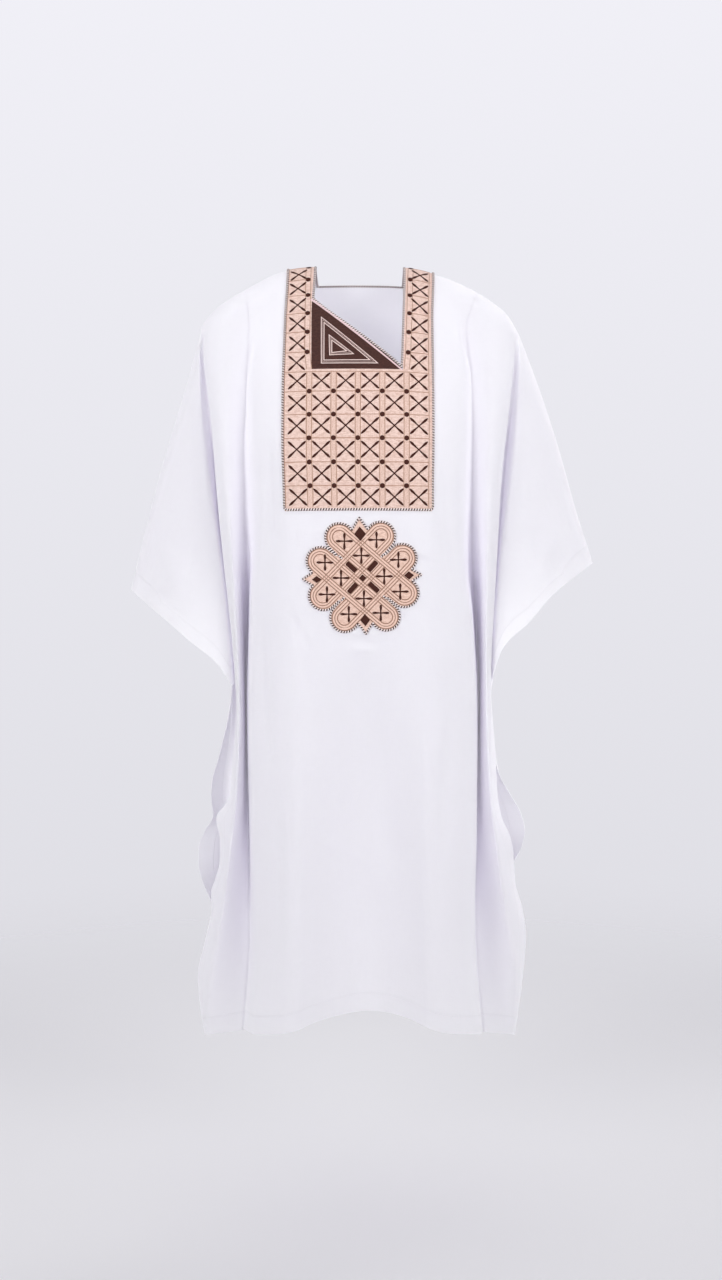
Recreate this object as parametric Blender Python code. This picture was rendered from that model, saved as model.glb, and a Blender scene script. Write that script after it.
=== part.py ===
"""A grand boubou as it hangs on a wearer, cut and sewn from thin cloth.

Units are metres, +Z is up, +X is to the right of someone who faces the robe, and the
robe faces -Y.  The origin is the middle of the neck opening at shoulder height.
The cloth is one smooth surface, and each sewn piece is a stretch of it, thickened.
Tables are in millimetres.
"""

import math
from collections import namedtuple

import bpy
import numpy as np

MM = 0.001
LEFT, RIGHT = -1, 1
FRONT, BACK = -1, 1

# Cloth
CLOTH = 0.002              # wall of the robe
BIB_CLOTH = 0.0016         # backed embroidery
PATCH_CLOTH = 0.0016
BINDING_WIDE = 0.004
BINDING_THICK = 0.003
BINDING_LIFT = 0.001       # middle of the binding, out from the middle of the cloth
SEAM_GAP = 0.0003          # between two sewn pieces
LAID_GAP = 0.0004          # under a piece that lies on a panel
PATCH_GAP = 0.0006         # the same under the medallion, whose mesh crosses the panel's
SIDE_SEAM_STEP = 0.0008    # each edge's distance from the middle of the side seam

# Heights, as levels: how far a row of cloth hangs below the shoulder ridge
LENGTH = 1.186             # shoulder ridge to the middle of the front hem
SLEEVE_LEVEL = 0.660       # where the sleeve's lower edge passes behind the arm fold
RIDGE_FADE = 0.385         # by this level the slope of the shoulders has evened out
RIDGE_ROLL = 0.040         # cloth taken up by the roll over the shoulder
SPREAD_LEVEL = 0.080       # folds reach their own places by this level
NECK_LEVEL = 0.054         # upper end of the slanted neck edge, on the wearer's right
NECK_BOTTOM = 0.168        # lower end of the slanted neck edge
NECK_STEPS = 6             # rows, and columns, that the slanted edge crosses
BIB_BOTTOM = 0.385
STRAP_BACK = 0.030         # level behind the ridge where the straps end
NECK_BACK = 0.030          # level of the neck edge at the back
HEM_LEVEL_BACK = 1.205
BEND_HIGH = 0.220          # bends change from their high to their low size from here
BEND_LOW = 0.470           # down to here

# Rows and columns of the pieces' meshes: levels, and numbers of folds from the middle
NECK_ROWS = list(np.linspace(NECK_LEVEL, NECK_BOTTOM, NECK_STEPS + 1))
FRONT_LEVELS = [0.0, 0.006, 0.022, 0.042, *NECK_ROWS,
                *np.linspace(NECK_BOTTOM, BIB_BOTTOM, 6)[1:],
                *np.linspace(BIB_BOTTOM, SLEEVE_LEVEL, 7)[1:],
                0.71, 0.76, 0.81, 0.85, 0.885, 0.92, 0.955, 0.985, 1.02, 1.06, 1.10, 1.145, LENGTH]
BACK_LEVELS = [0.0, 0.008, NECK_BACK, 0.065, 0.11, 0.16, 0.22, 0.29, 0.36, 0.43, 0.50, 0.58,
               SLEEVE_LEVEL, 0.72, 0.78, 0.83, 0.87, 0.91, 0.95, 0.985, 1.03, 1.09, 1.15,
               HEM_LEVEL_BACK]
SEAM, EDGE, WING, TIP = 4.5, 8, 10, 14   # the side seam, the cloth's edge, the inner fold, the tip
NECK_COLUMNS = list(np.linspace(-1, 1, NECK_STEPS + 1))
BODY_OUT = [1.5, 2.0, 2.4, 2.75, 3.05, 3.5, 3.93, 4.0, SEAM]
BODY_COLUMNS = [-place for place in BODY_OUT[::-1]] + NECK_COLUMNS + BODY_OUT
BACK_OUT = [1.5, 2.0, 2.5, 3.0, 3.5, 4.0, SEAM]
BACK_COLUMNS = [-place for place in BACK_OUT[::-1]] + [-1.0, -0.5, 0.0, 0.5, 1.0] + BACK_OUT
SLEEVE_OUT = [SEAM, 5.0, 5.07, 5.5, 5.88, 6.0, 6.25, 6.6, 7.0, 7.35, 8.0, 9.0, 9.6, 10.0, 10.5,
              11.2, 12.0, 13.0, 14.0]

# Medallion, about its own middle, with its four points up, down and to the sides
MEDALLION_X, MEDALLION_DROP = 0.0025, 0.4865
MEDALLION_TURN_UPRIGHT = math.radians(3.4)     # anticlockwise from the front
MEDALLION_TURN_LEVEL = math.radians(2.2)       # the cloth is drawn a little out of square
PETAL_ROUND = 0.0225                           # half the width of a petal
Petal = namedtuple("Petal", "out up")          # middle of a petal's round end
PETALS = (Petal(0.0318, 0.0625), Petal(0.0628, 0.0270))
Point = namedtuple("Point", "reach half foot")     # to its tip, and half its width at its foot
POINTS = (Point(0.0927, 0.0125, 0.074),        # up, then anticlockwise
          Point(0.0930, 0.0120, 0.075),
          Point(0.0890, 0.0120, 0.072),
          Point(0.0915, 0.0105, 0.074))
CORE = 0.050                                   # the middle, between the petals
OUTLINE_STEPS = 96
RINGS = (0.25, 0.5, 0.75, 1.0)

# Slopes are taken from the surface over these steps
ACROSS_STEP = 0.01
RUN_STEP = 0.0005
FOLD_WIDTH = 0.06          # first guess at the width of a fold
FIND_TURNS = 6
NEAR = 1e-4                # levels closer than this are the same

# Look of each material: colour and roughness
Look = namedtuple("Look", "red green blue roughness")
LOOKS = {
    "white_cotton": Look(0.86, 0.86, 0.91, 0.75),
    "peach_embroidery": Look(0.76, 0.54, 0.43, 0.6),
    "brown_satin": Look(0.065, 0.02, 0.016, 0.45),
    "rope_edging": Look(0.35, 0.17, 0.14, 0.6),
}

# Fold lines run down the robe.  Each row: drop below the neck, distance out from the
# middle, distance forward of the shoulder ridge (or behind it, for the back).
Row = namedtuple("Row", "drop out depth")

MIDDLE = (Row(0, 0, 22), Row(33, 0, 35), Row(73, 0, 66), Row(135, 0, 103), Row(197, 0, 130),
          Row(270, 0, 152), Row(345, 0, 165), Row(450, 0, 171), Row(600, 0, 168),
          Row(700, 0, 160), Row(900, 0, 140), Row(1050, 0, 125), Row(1220, 0, 115))

NECK = {
    LEFT: (Row(0, 83, 22), Row(33, 83, 33), Row(73, 82, 63), Row(135, 81, 99), Row(197, 80, 126),
           Row(270, 78, 149), Row(345, 76, 162), Row(450, 74, 169), Row(600, 72, 169),
           Row(700, 70, 166), Row(900, 68, 158), Row(1050, 66, 152), Row(1220, 66, 148)),
    RIGHT: (Row(0, 74, 22), Row(33, 74, 33), Row(73, 73, 63), Row(135, 70, 99), Row(197, 67, 126),
            Row(270, 65, 150), Row(345, 64, 163), Row(450, 64, 170), Row(600, 68, 169),
            Row(700, 70, 165), Row(900, 73, 154), Row(1050, 75, 145), Row(1220, 76, 139)),
}
FLUTE = {
    LEFT: (Row(0, 118, 22), Row(33, 119, 31), Row(73, 120, 56), Row(135, 121, 91),
           Row(197, 122, 118), Row(270, 122, 140), Row(345, 120, 152), Row(450, 118, 160),
           Row(600, 117, 163), Row(700, 115, 166), Row(900, 112, 174), Row(1050, 110, 180),
           Row(1220, 108, 185)),
    RIGHT: (Row(0, 114, 22), Row(33, 114, 31), Row(73, 113, 56), Row(135, 112, 91),
            Row(197, 112, 120), Row(270, 112, 142), Row(345, 111, 154), Row(450, 112, 161),
            Row(600, 114, 164), Row(700, 116, 166), Row(900, 118, 172), Row(1050, 119, 177),
            Row(1220, 119, 181)),
}
SIDE = {
    LEFT: (Row(0, 150, 22), Row(70, 153, 55), Row(138, 158, 86), Row(216, 162, 106),
           Row(295, 162, 117), Row(371, 159, 119), Row(449, 162, 115), Row(527, 172, 111),
           Row(685, 176, 108), Row(860, 172, 113), Row(1083, 164, 124), Row(1219, 172, 130)),
    RIGHT: (Row(0, 146, 22), Row(70, 150, 55), Row(138, 156, 86), Row(216, 159, 106),
            Row(295, 159, 117), Row(371, 157, 119), Row(464, 158, 115), Row(558, 173, 111),
            Row(685, 180, 109), Row(901, 181, 116), Row(1037, 176, 123), Row(1209, 192, 128)),
}
GULLY = {
    LEFT: (Row(0, 172, 25), Row(70, 174, 48), Row(138, 177, 68), Row(216, 181, 79),
           Row(295, 184, 80), Row(374, 184, 58), Row(454, 183, 25), Row(537, 183, 2),
           Row(700, 185, -8), Row(860, 184, 0), Row(1083, 184, 26), Row(1240, 194, 56)),
    RIGHT: (Row(0, 162, 25), Row(70, 163, 48), Row(120, 166, 63), Row(182, 173, 76),
            Row(250, 175, 83), Row(354, 175, 64), Row(443, 177, 26), Row(537, 183, 2),
            Row(700, 189, -8), Row(860, 188, 0), Row(1083, 190, 28), Row(1240, 200, 66)),
}
ARM_FOLD = {
    LEFT: (Row(0, 196, 30), Row(70, 205, 60), Row(138, 212, 82), Row(216, 213, 98),
           Row(295, 210, 106), Row(375, 206, 108), Row(455, 202, 104), Row(540, 197, 98),
           Row(690, 192, 92), Row(850, 199, 84), Row(933, 209, 78), Row(1016, 220, 72),
           Row(1101, 236, 62), Row(1187, 249, 50), Row(1260, 251, 40)),
    RIGHT: (Row(0, 188, 30), Row(70, 196, 58), Row(120, 201, 76), Row(210, 205, 97),
            Row(316, 200, 106), Row(370, 199, 106), Row(440, 197, 102), Row(540, 196, 96),
            Row(688, 198, 90), Row(850, 207, 80), Row(933, 218, 75), Row(1016, 230, 68),
            Row(1075, 241, 60), Row(1147, 251, 50), Row(1260, 248, 38)),
}
ARM_LIP = {
    LEFT: (Row(0, 228, 38), Row(100, 240, 54), Row(138, 246, 62), Row(199, 240, 72),
           Row(255, 234, 78), Row(353, 227, 80), Row(460, 218, 80), Row(609, 204, 78),
           Row(690, 199, 72), Row(785, 202, 70), Row(850, 207, 64), Row(891, 221, 56),
           Row(933, 220, 57), Row(1016, 235, 46), Row(1101, 249, 36), Row(1187, 262, 27),
           Row(1260, 257, 22)),
    RIGHT: (Row(0, 222, 38), Row(100, 233, 56), Row(165, 236, 70), Row(210, 232, 76),
            Row(265, 227, 80), Row(316, 221, 82), Row(440, 215, 82), Row(541, 211, 80),
            Row(660, 206, 74), Row(790, 210, 68), Row(853, 214, 60), Row(919, 231, 50),
            Row(969, 239, 40), Row(1048, 253, 34), Row(1147, 261, 26), Row(1260, 253, 21)),
}
SLEEVE_EDGE = {
    LEFT: (Row(0, 244, 35), Row(138, 248, 43), Row(241, 238, 42), Row(325, 230, 38),
           Row(397, 224, 38), Row(454, 217, 40), Row(550, 206, 43), Row(620, 200, 45),
           Row(690, 199, 47), Row(790, 206, 50), Row(853, 212, 42), Row(891, 235, 31),
           Row(929, 229, 31), Row(961, 230, 29), Row(996, 239, 19), Row(1020, 246, 8),
           Row(1042, 246, 0), Row(1104, 258, 0), Row(1160, 270, 0), Row(1209, 267, 0),
           Row(1262, 259, 0)),
    RIGHT: (Row(0, 238, 35), Row(110, 243, 45), Row(210, 236, 44), Row(305, 227, 41),
            Row(389, 220, 42), Row(493, 212, 45), Row(600, 206, 46), Row(690, 209, 48),
            Row(790, 216, 50), Row(853, 221, 41), Row(890, 229, 35), Row(919, 242, 29),
            Row(950, 249, 15), Row(972, 251, 0), Row(1006, 254, 0), Row(1048, 266, 0),
            Row(1096, 272, 0), Row(1176, 266, 0), Row(1260, 255, 0)),
}
WING_FOLD = {
    LEFT: (Row(105, 254, 35), Row(137, 255, 48), Row(185, 254, 56), Row(241, 251, 58),
           Row(326, 243, 58), Row(397, 233, 58), Row(454, 225, 58), Row(550, 214, 60),
           Row(672, 205, 61)),
    RIGHT: (Row(105, 247, 35), Row(150, 250, 50), Row(210, 248, 57), Row(305, 241, 58),
            Row(389, 231, 58), Row(434, 225, 58), Row(493, 219, 59), Row(560, 214, 60),
            Row(650, 211, 61)),
}
# The sleeve's lower edge, from the arm fold out to a hand's breadth from the tip
SLEEVE_HEM = {
    LEFT: (Row(672, 205, 61), Row(641, 219, 65), Row(627, 232, 65), Row(614, 248, 65),
           Row(599, 272, 60), Row(585, 289, 51), Row(564, 315, 36), Row(545, 341, 20)),
    RIGHT: (Row(650, 211, 61), Row(611, 217, 65), Row(598, 229, 65), Row(584, 247, 65),
            Row(574, 264, 60), Row(554, 280, 52), Row(514, 316, 32), Row(500, 341, 18)),
}
# The shoulder ridge, from the neck out over the shoulder and down to the sleeve's tip
RIDGE = {
    LEFT: (Row(5, 68, 0), Row(11, 119, 0), Row(41, 183, 0), Row(63, 220, 0), Row(90, 249, 0),
           Row(144, 262, 0), Row(229, 290, 0), Row(328, 322, 0), Row(409, 344, 0),
           Row(519, 372, 0)),
    RIGHT: (Row(5, 68, 0), Row(18, 119, 0), Row(35, 164, 0), Row(55, 199, 0), Row(77, 230, 0),
            Row(109, 249, 0), Row(144, 265, 0), Row(229, 296, 0), Row(304, 321, 0),
            Row(385, 343, 0), Row(445, 363, 0), Row(476, 374, 0)),
}

BACK_MIDDLE = (Row(0, 0, 22), Row(33, 0, 44), Row(70, 0, 70), Row(135, 0, 97), Row(200, 0, 110),
               Row(300, 0, 113), Row(450, 0, 106), Row(650, 0, 104), Row(850, 0, 112),
               Row(1050, 0, 124), Row(1230, 0, 134))
BACK_NECK = (Row(0, 68, 22), Row(33, 68, 43), Row(70, 69, 69), Row(135, 70, 96),
             Row(200, 70, 109), Row(300, 70, 112), Row(450, 70, 106), Row(650, 69, 107),
             Row(850, 68, 119), Row(1050, 66, 136), Row(1230, 65, 149))
BACK_FLUTE = (Row(0, 118, 22), Row(33, 119, 40), Row(70, 119, 66), Row(135, 120, 94),
              Row(200, 121, 107), Row(300, 122, 108), Row(450, 122, 104), Row(650, 120, 112),
              Row(850, 118, 130), Row(1050, 115, 150), Row(1230, 112, 164))
BACK_SIDE = (Row(0, 150, 22), Row(70, 154, 54), Row(135, 160, 84), Row(300, 168, 91),
             Row(450, 173, 88), Row(650, 178, 93), Row(850, 180, 103), Row(1050, 178, 116),
             Row(1230, 182, 128))
BACK_GULLY = (Row(0, 172, 25), Row(70, 176, 48), Row(135, 184, 72), Row(300, 196, 66),
              Row(450, 199, 54), Row(650, 199, 50), Row(850, 202, 60), Row(1050, 205, 78),
              Row(1230, 211, 92))
BACK_FOLD = (Row(0, 200, 30), Row(70, 208, 58), Row(135, 216, 76), Row(300, 222, 82),
             Row(450, 220, 76), Row(650, 214, 71), Row(850, 222, 74), Row(1050, 233, 70),
             Row(1230, 240, 62))
BACK_EDGE = {
    LEFT: (Row(0, 244, 35), Row(135, 250, 44), Row(300, 244, 48), Row(450, 232, 47),
           Row(685, 213, 40), Row(800, 235, 41), Row(840, 247, 41), Row(868, 249, 40),
           Row(900, 246, 40), Row(924, 259, 37), Row(953, 270, 31), Row(977, 270, 23),
           Row(1010, 260, 11), Row(1042, 246, 0), Row(1104, 258, 0), Row(1160, 270, 0),
           Row(1209, 267, 0), Row(1262, 259, 0)),
    RIGHT: (Row(0, 238, 35), Row(135, 245, 44), Row(300, 240, 48), Row(450, 230, 47),
            Row(685, 214, 40), Row(790, 219, 41), Row(828, 228, 41), Row(863, 247, 40),
            Row(897, 266, 37), Row(924, 272, 31), Row(950, 265, 17), Row(972, 251, 0),
            Row(1006, 254, 0), Row(1048, 266, 0), Row(1096, 272, 0), Row(1176, 266, 0),
            Row(1260, 255, 0)),
}
BACK_WING_FOLD = {
    LEFT: (Row(105, 254, 35), Row(185, 260, 52), Row(283, 260, 56), Row(397, 252, 56),
           Row(550, 239, 54), Row(645, 230, 48)),
    RIGHT: (Row(105, 247, 35), Row(185, 256, 52), Row(283, 257, 56), Row(397, 249, 56),
            Row(550, 238, 54), Row(618, 230, 48)),
}
BACK_SLEEVE_HEM = {
    LEFT: (Row(645, 230, 48), Row(614, 249, 53), Row(599, 272, 49),
           Row(585, 289, 43), Row(564, 315, 31), Row(545, 341, 18)),
    RIGHT: (Row(618, 230, 48), Row(584, 247, 53), Row(574, 264, 49),
            Row(554, 280, 43), Row(514, 316, 29), Row(500, 341, 17)),
}

# Folds from the middle outwards, numbered 0 to 14; the last six cross the sleeve.
# ridge: place along the shoulder ridge; aside: shift from its line, so that a valley has
# a bottom; roll: how far below the ridge the fold stands out in full; round_high,
# round_low: how far from the crease its bend starts, at the shoulder and lower down;
# hem_front, hem_back: how much lower than the middle it ends
Fold = namedtuple("Fold", "ridge aside roll round_high round_low hem_front hem_back")
FOLDS = (
    Fold(0, 0, 30, 99, 99, 0, 0),          # middle
    Fold(68, 0, 30, 99, 99, 3, 0),         # neck edge
    Fold(119, 0, 30, 99, 99, 16, 4),       # edge of the chest field
    Fold(150, 0, 32, 30, 20, 34, 16),      # side of the body
    Fold(184, -4, 35, 16, 4, 49, 30),      # gully between body and arm, body side
    Fold(192, 4, 36, 16, 4, 51, 32),       # gully, arm side
    Fold(216, 0, 42, 20, 10, 62, 44),      # fold over the front of the arm
    Fold(248, 0, 48, 12, 8, 69, 50),       # its outer lip
    Fold(278, 0, 50, 0, 0, 74, 55),        # groove behind it, and the sleeve's edge
    Fold(286, 5, 50, 3, 3, 0, 0),          # groove, sleeve side
    Fold(298, 0, 50, 12, 10, 0, 0),        # inner fold of the sleeve
)
NECK_ON_RIDGE = {LEFT: 79, RIGHT: 75}      # where the neck's edge crosses the ridge
TIP_ROLL = 12              # the sleeve narrows to this bend at its tip
TIP_DEPTH = 12
BACK_LIP_RISE = 5          # the arm fold's outer side, proud of a straight line at the back


def curve(places, values):
    """Return a smooth function through the points that never swings past them."""
    places = np.asarray(places, float)
    values = np.asarray(values, float)
    steps = np.diff(places)
    slopes = np.diff(values) / steps
    before, after = slopes[:-1], slopes[1:]
    same_way = before * after > 0
    total = np.where(same_way, before + after, 1.0)
    inner = np.where(same_way, 2.0 * before * after / total, 0.0)
    tangents = np.concatenate((slopes[:1], inner, slopes[-1:]))

    def value(place):
        place = min(max(place, places[0]), places[-1])
        i = min(int(np.searchsorted(places, place, side="right")) - 1, len(steps) - 1)
        gone = (place - places[i]) / steps[i]
        left = 1 - gone
        return (values[i] * (1 + 2 * gone) * left ** 2
                + values[i + 1] * gone ** 2 * (3 - 2 * gone)
                + steps[i] * gone * left * (tangents[i] * left - tangents[i + 1] * gone))

    return value


def line(rows):
    """Return the distance out and the depth of a fold line, each as a function of drop."""
    drops = [row.drop * MM for row in rows]
    out = curve(drops, [row.out * MM for row in rows])
    depth = curve(drops, [row.depth * MM for row in rows])
    return out, depth


def path(rows):
    """Return a function of the share of the way along rows, giving (out, drop, depth)."""
    points = np.array([(row.out, row.drop, row.depth) for row in rows]) * MM
    lengths = np.concatenate(((0.0,), np.cumsum(np.linalg.norm(np.diff(points, axis=0), axis=1))))
    axes = [curve(lengths, points[:, axis]) for axis in range(3)]

    def at(length):
        return np.array([axis(length) for axis in axes])

    return at, lengths[-1]


def ease(value):
    """Rise smoothly from 0 to 1."""
    value = min(max(value, 0.0), 1.0)
    return value * value * (3 - 2 * value)


def roll(share):
    """Rise from 0 to 1 as the side of a round bend does."""
    return math.sqrt(1.0 - (1.0 - min(share, 1.0)) ** 2)


def mix(start, end, share):
    return start * (1.0 - share) + end * share


def level_at(run):
    """Turn a distance along the cloth from the ridge into a level below it."""
    run = abs(run)
    if run < RIDGE_ROLL:
        return run * run / (2.0 * RIDGE_ROLL)
    return run - RIDGE_ROLL / 2.0


def run_at(level):
    """Turn a level below the ridge into a distance along the cloth from the ridge."""
    if level < RIDGE_ROLL / 2.0:
        return math.sqrt(2.0 * RIDGE_ROLL * level)
    return level + RIDGE_ROLL / 2.0


class Half:
    """One side of the front or of the back, from the middle out to the sleeve's tip."""

    def __init__(self, side, facing, lines, wing, hem, hem_drops):
        self.side = side
        self.facing = facing
        self.lines = [line(rows) for rows in lines]
        self.wing_out, self.wing_depth = line(wing)
        self.hem, self.hem_length = path(hem)
        self.hem_drops = [drop * MM for drop in hem_drops]
        self.ridge, self.ridge_length = path(RIDGE[side])

    def ridge_at(self, place):
        """Give the ridge's (out, drop) at a distance from the middle of the neck."""
        neck = FOLDS[1].ridge * MM
        out, drop, _ = self.ridge(max(place - neck, 0.0))
        return (out - max(neck - place, 0.0), drop)

    def fold_point(self, number, level):
        """Give (out, drop, depth) where a fold line crosses a level."""
        fold = FOLDS[number]
        place = NECK_ON_RIDGE[self.side] if number == 1 else fold.ridge
        ridge_out, ridge_drop = self.ridge_at(place * MM)
        fade = max(1.0 - level / RIDGE_FADE, 0.0) ** 2
        drop = level + ridge_drop * fade + self.hem_drops[number] * (level / LENGTH) ** 2
        out, depth = self.lines[number]
        spread = ease(level / SPREAD_LEVEL)
        full_depth = max(depth(drop), SIDE_SEAM_STEP)
        return np.array((mix(ridge_out, out(drop) + fold.aside * MM, spread), drop,
                         full_depth * roll(level / (fold.roll * MM))))

    def wing_start(self, share):
        """Give the sleeve's innermost fold, a share of the way down from ridge to edge."""
        fold = FOLDS[WING]
        ridge_out, ridge_drop = self.ridge_at(fold.ridge * MM)
        drop = mix(ridge_drop, self.hem(0.0)[1], share)
        spread = ease(share * SLEEVE_LEVEL / SPREAD_LEVEL)
        return np.array((mix(ridge_out, self.wing_out(drop), spread), drop, self.wing_depth(drop)))

    def wing_point(self, number, level):
        """Give a sleeve point from the four edges of the sleeve's face."""
        share = level / SLEEVE_LEVEL
        across = (number - WING) / (TIP - WING)
        neck = FOLDS[1].ridge * MM
        start, end = FOLDS[WING].ridge * MM, self.ridge_length + neck
        top_start = np.array((*self.ridge_at(start), 0.0))
        top_end = np.array((*self.ridge_at(end), 0.0))
        top = np.array((*self.ridge_at(mix(start, end, across)), 0.0))
        bottom_start, bottom_end = self.hem(0.0), self.hem(self.hem_length)
        bottom = self.hem(self.hem_length * across)
        inner = self.wing_start(share)
        outer = mix(top_end, bottom_end, share)
        face = (mix(top, bottom, share) + mix(inner, outer, across)
                - mix(mix(top_start, bottom_start, share), mix(top_end, bottom_end, share), across))
        flat = mix(self.wing_depth(inner[1]), TIP_DEPTH * MM, across)
        edge = mix(bottom_start[2], TIP_DEPTH * MM, across)
        length = np.linalg.norm(bottom - top)
        bend = mix(FOLDS[WING].roll, TIP_ROLL, across) * MM
        face[2] = (flat + (bottom[2] - edge) * share ** 2) * roll(length * share / bend)
        return face

    def points(self, level):
        """Give the points of the folds at a level, from the middle outwards, as x, y, z."""
        found = [self.fold_point(number, level) for number in range(EDGE + 1)]
        if level <= SLEEVE_LEVEL + NEAR:
            found += [self.fold_point(number, level) for number in range(EDGE + 1, WING)]
            found += [self.wing_point(number, level) for number in range(WING, TIP + 1)]
        return [np.array((self.side * out, self.facing * depth, -drop))
                for out, drop, depth in found]


def half(side, facing):
    """Gather the tables of one side of the front or of the back."""
    if facing == FRONT:
        drops = [fold.hem_front for fold in FOLDS]
        lines = (MIDDLE, NECK[side], FLUTE[side], SIDE[side], GULLY[side], GULLY[side],
                 ARM_FOLD[side], ARM_LIP[side], SLEEVE_EDGE[side], SLEEVE_EDGE[side])
        return Half(side, facing, lines, WING_FOLD[side], SLEEVE_HEM[side], drops)
    drops = [fold.hem_back for fold in FOLDS]
    fold_out, fold_depth = line(BACK_FOLD)
    edge_out, edge_depth = line(BACK_EDGE[side])
    lip = [Row(row.drop, (fold_out(row.drop * MM) + edge_out(row.drop * MM)) / 2 / MM,
               (fold_depth(row.drop * MM) + edge_depth(row.drop * MM)) / 2 / MM + BACK_LIP_RISE)
           for row in BACK_FOLD]
    lines = (BACK_MIDDLE, BACK_NECK, BACK_FLUTE, BACK_SIDE, BACK_GULLY, BACK_GULLY, BACK_FOLD,
             lip, BACK_EDGE[side], BACK_EDGE[side])
    return Half(side, facing, lines, BACK_WING_FOLD[side], BACK_SLEEVE_HEM[side], drops)


HALVES = {(side, facing): half(side, facing) for side in (LEFT, RIGHT) for facing in (FRONT, BACK)}
SECTIONS = {}              # corners and level of each row met so far
FRONT_RUNS = [run_at(level) for level in FRONT_LEVELS]
BACK_RUNS = [-run_at(level) for level in BACK_LEVELS[::-1]]


def section(run):
    """Give the section's corners at a run from the ridge: left tip, middle, right tip."""
    if run not in SECTIONS:
        facing = FRONT if run >= 0 else BACK
        level = level_at(run)
        left = HALVES[LEFT, facing].points(level)
        right = HALVES[RIGHT, facing].points(level)
        middle = (left[1] + right[1]) / 2
        middle[1:] = right[0][1:]
        SECTIONS[run] = left[:0:-1] + [middle] + right[1:], level
    return SECTIONS[run]


def bend_at(number, level):
    """Give how far from a fold's crease its bend starts, on either side."""
    if number > WING:
        return 1.0                         # the sleeve's face has no creases
    fold = FOLDS[number]
    share = ease((level - BEND_HIGH) / (BEND_LOW - BEND_HIGH))
    return mix(fold.round_high, fold.round_low, share) * MM


def surface(across, run):
    """Give a point of the cloth's middle surface.

    across counts folds from the middle, negative to the left; run is the distance along
    the cloth from the shoulder ridge, positive down the front and negative down the back.
    """
    corners, level = section(run)
    reach = (len(corners) - 1) // 2
    across = min(max(across, -reach), reach)
    i = min(max(int(round(across)) + reach, 0), 2 * reach)
    offset = across + reach - i
    corner = corners[i]
    toward = corners[i + 1] if offset > 0 else corners[i - 1]
    if offset == 0 and i in (0, 2 * reach):
        return corner
    bends = []
    for other in (i - 1, i + 1):
        if 0 <= other <= 2 * reach:
            span = corners[other] - corner
            length = np.linalg.norm(span)
            reach_out = min(bend_at(abs(i - reach), level), length / 2)
            bends.append((span, length, reach_out))
    if len(bends) == 1:
        return mix(corner, (corner + toward) / 2, abs(offset) * 2)
    (back_span, back_length, back_reach), (ahead_span, ahead_length, ahead_reach) = bends
    start = corner + back_span / back_length * back_reach
    end = corner + ahead_span / ahead_length * ahead_reach
    length, bend = (back_length, back_reach) if offset <= 0 else (ahead_length, ahead_reach)
    straight = length / 2 - bend
    share = 1.0 - abs(offset) * 2              # 0 half-way to the next fold, 1 on the crease
    turn = straight / (straight + bend) if straight + bend > 0 else 1.0
    if share < turn:
        return mix((corner + toward) / 2, start if offset <= 0 else end, share / turn)
    gone = 0.5 * (share - turn) / (1.0 - turn) if turn < 1.0 else 0.5
    if offset > 0:
        gone = 1.0 - gone
    left = 1.0 - gone
    return start * left ** 2 + corner * 2 * gone * left + end * gone ** 2


def frame_at(across, run):
    """Give the point, the unit directions across and along the cloth, and the outward normal."""
    point = surface(across, run)
    over = surface(across + ACROSS_STEP, run) - surface(across - ACROSS_STEP, run)
    low, high = run - RUN_STEP, run + RUN_STEP
    if level_at(run) > SLEEVE_LEVEL - 2 * RUN_STEP and abs(across) > EDGE:
        low, high = (low, run) if run > 0 else (run, high)
    steady = min(max(across, -TIP + 1), TIP - 1)       # rows run into one another at the tip
    along = surface(steady, high) - surface(steady, low)
    over /= np.linalg.norm(over)
    along /= np.linalg.norm(along)
    normal = np.cross(along, over)
    normal /= np.linalg.norm(normal)
    return point, over, along, normal


def shell(name, corners, faces, wall, lift=0.0, smooth=40.0):
    """Build a closed sheet of cloth from a mesh of places on the cloth's surface.

    corners maps a key to (across, run, (nudge across, nudge along)); nudges are in metres.
    faces list keys, turned so that their outside is the outside of the robe.
    """
    outer, inner = {}, {}
    vertices = []
    for key, (across, run, nudge) in corners.items():
        point, over, along, normal = frame_at(across, run)
        point = point + over * nudge[0] + along * nudge[1]
        outer[key] = len(vertices)
        vertices.append(point + normal * (lift + wall / 2))
        inner[key] = len(vertices)
        vertices.append(point + normal * (lift - wall / 2))
    polygons = []
    edges = set()
    for face in faces:
        for first, second in zip(face[1:-1], face[2:]):     # the same diagonals in every piece
            polygons.append([outer[face[0]], outer[first], outer[second]])
            polygons.append([inner[second], inner[first], inner[face[0]]])
        edges.update(zip(face, face[1:] + face[:1]))
    for start, end in edges:
        if (end, start) not in edges:
            polygons.append([outer[end], outer[start], inner[start], inner[end]])
    mesh = bpy.data.meshes.new(name)
    mesh.from_pydata([tuple(vertex) for vertex in vertices], [], polygons)
    mesh.shade_smooth()
    mesh.set_sharp_from_angle(angle=math.radians(smooth))
    piece = bpy.data.objects.new(name, mesh)
    bpy.context.scene.collection.objects.link(piece)
    return piece


def grid(columns, runs, kept):
    """Mesh a stretch of cloth; kept says what stays of the cell at a column and a row.

    kept(i, j) is True for a whole cell, False for none, and "corner" for the half that
    lies below and to the left of its diagonal.
    """
    faces = []
    for i in range(len(columns) - 1):
        for j in range(len(runs) - 1):
            keep = kept(i, j)
            if keep == "corner":
                faces.append([(i, j), (i, j + 1), (i + 1, j + 1)])
            elif keep:
                faces.append([(i, j), (i, j + 1), (i + 1, j + 1), (i + 1, j)])
    keys = {key for face in faces for key in face}
    corners = {key: (columns[key[0]], runs[key[1]], (0.0, 0.0)) for key in sorted(keys)}
    return corners, faces


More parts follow.
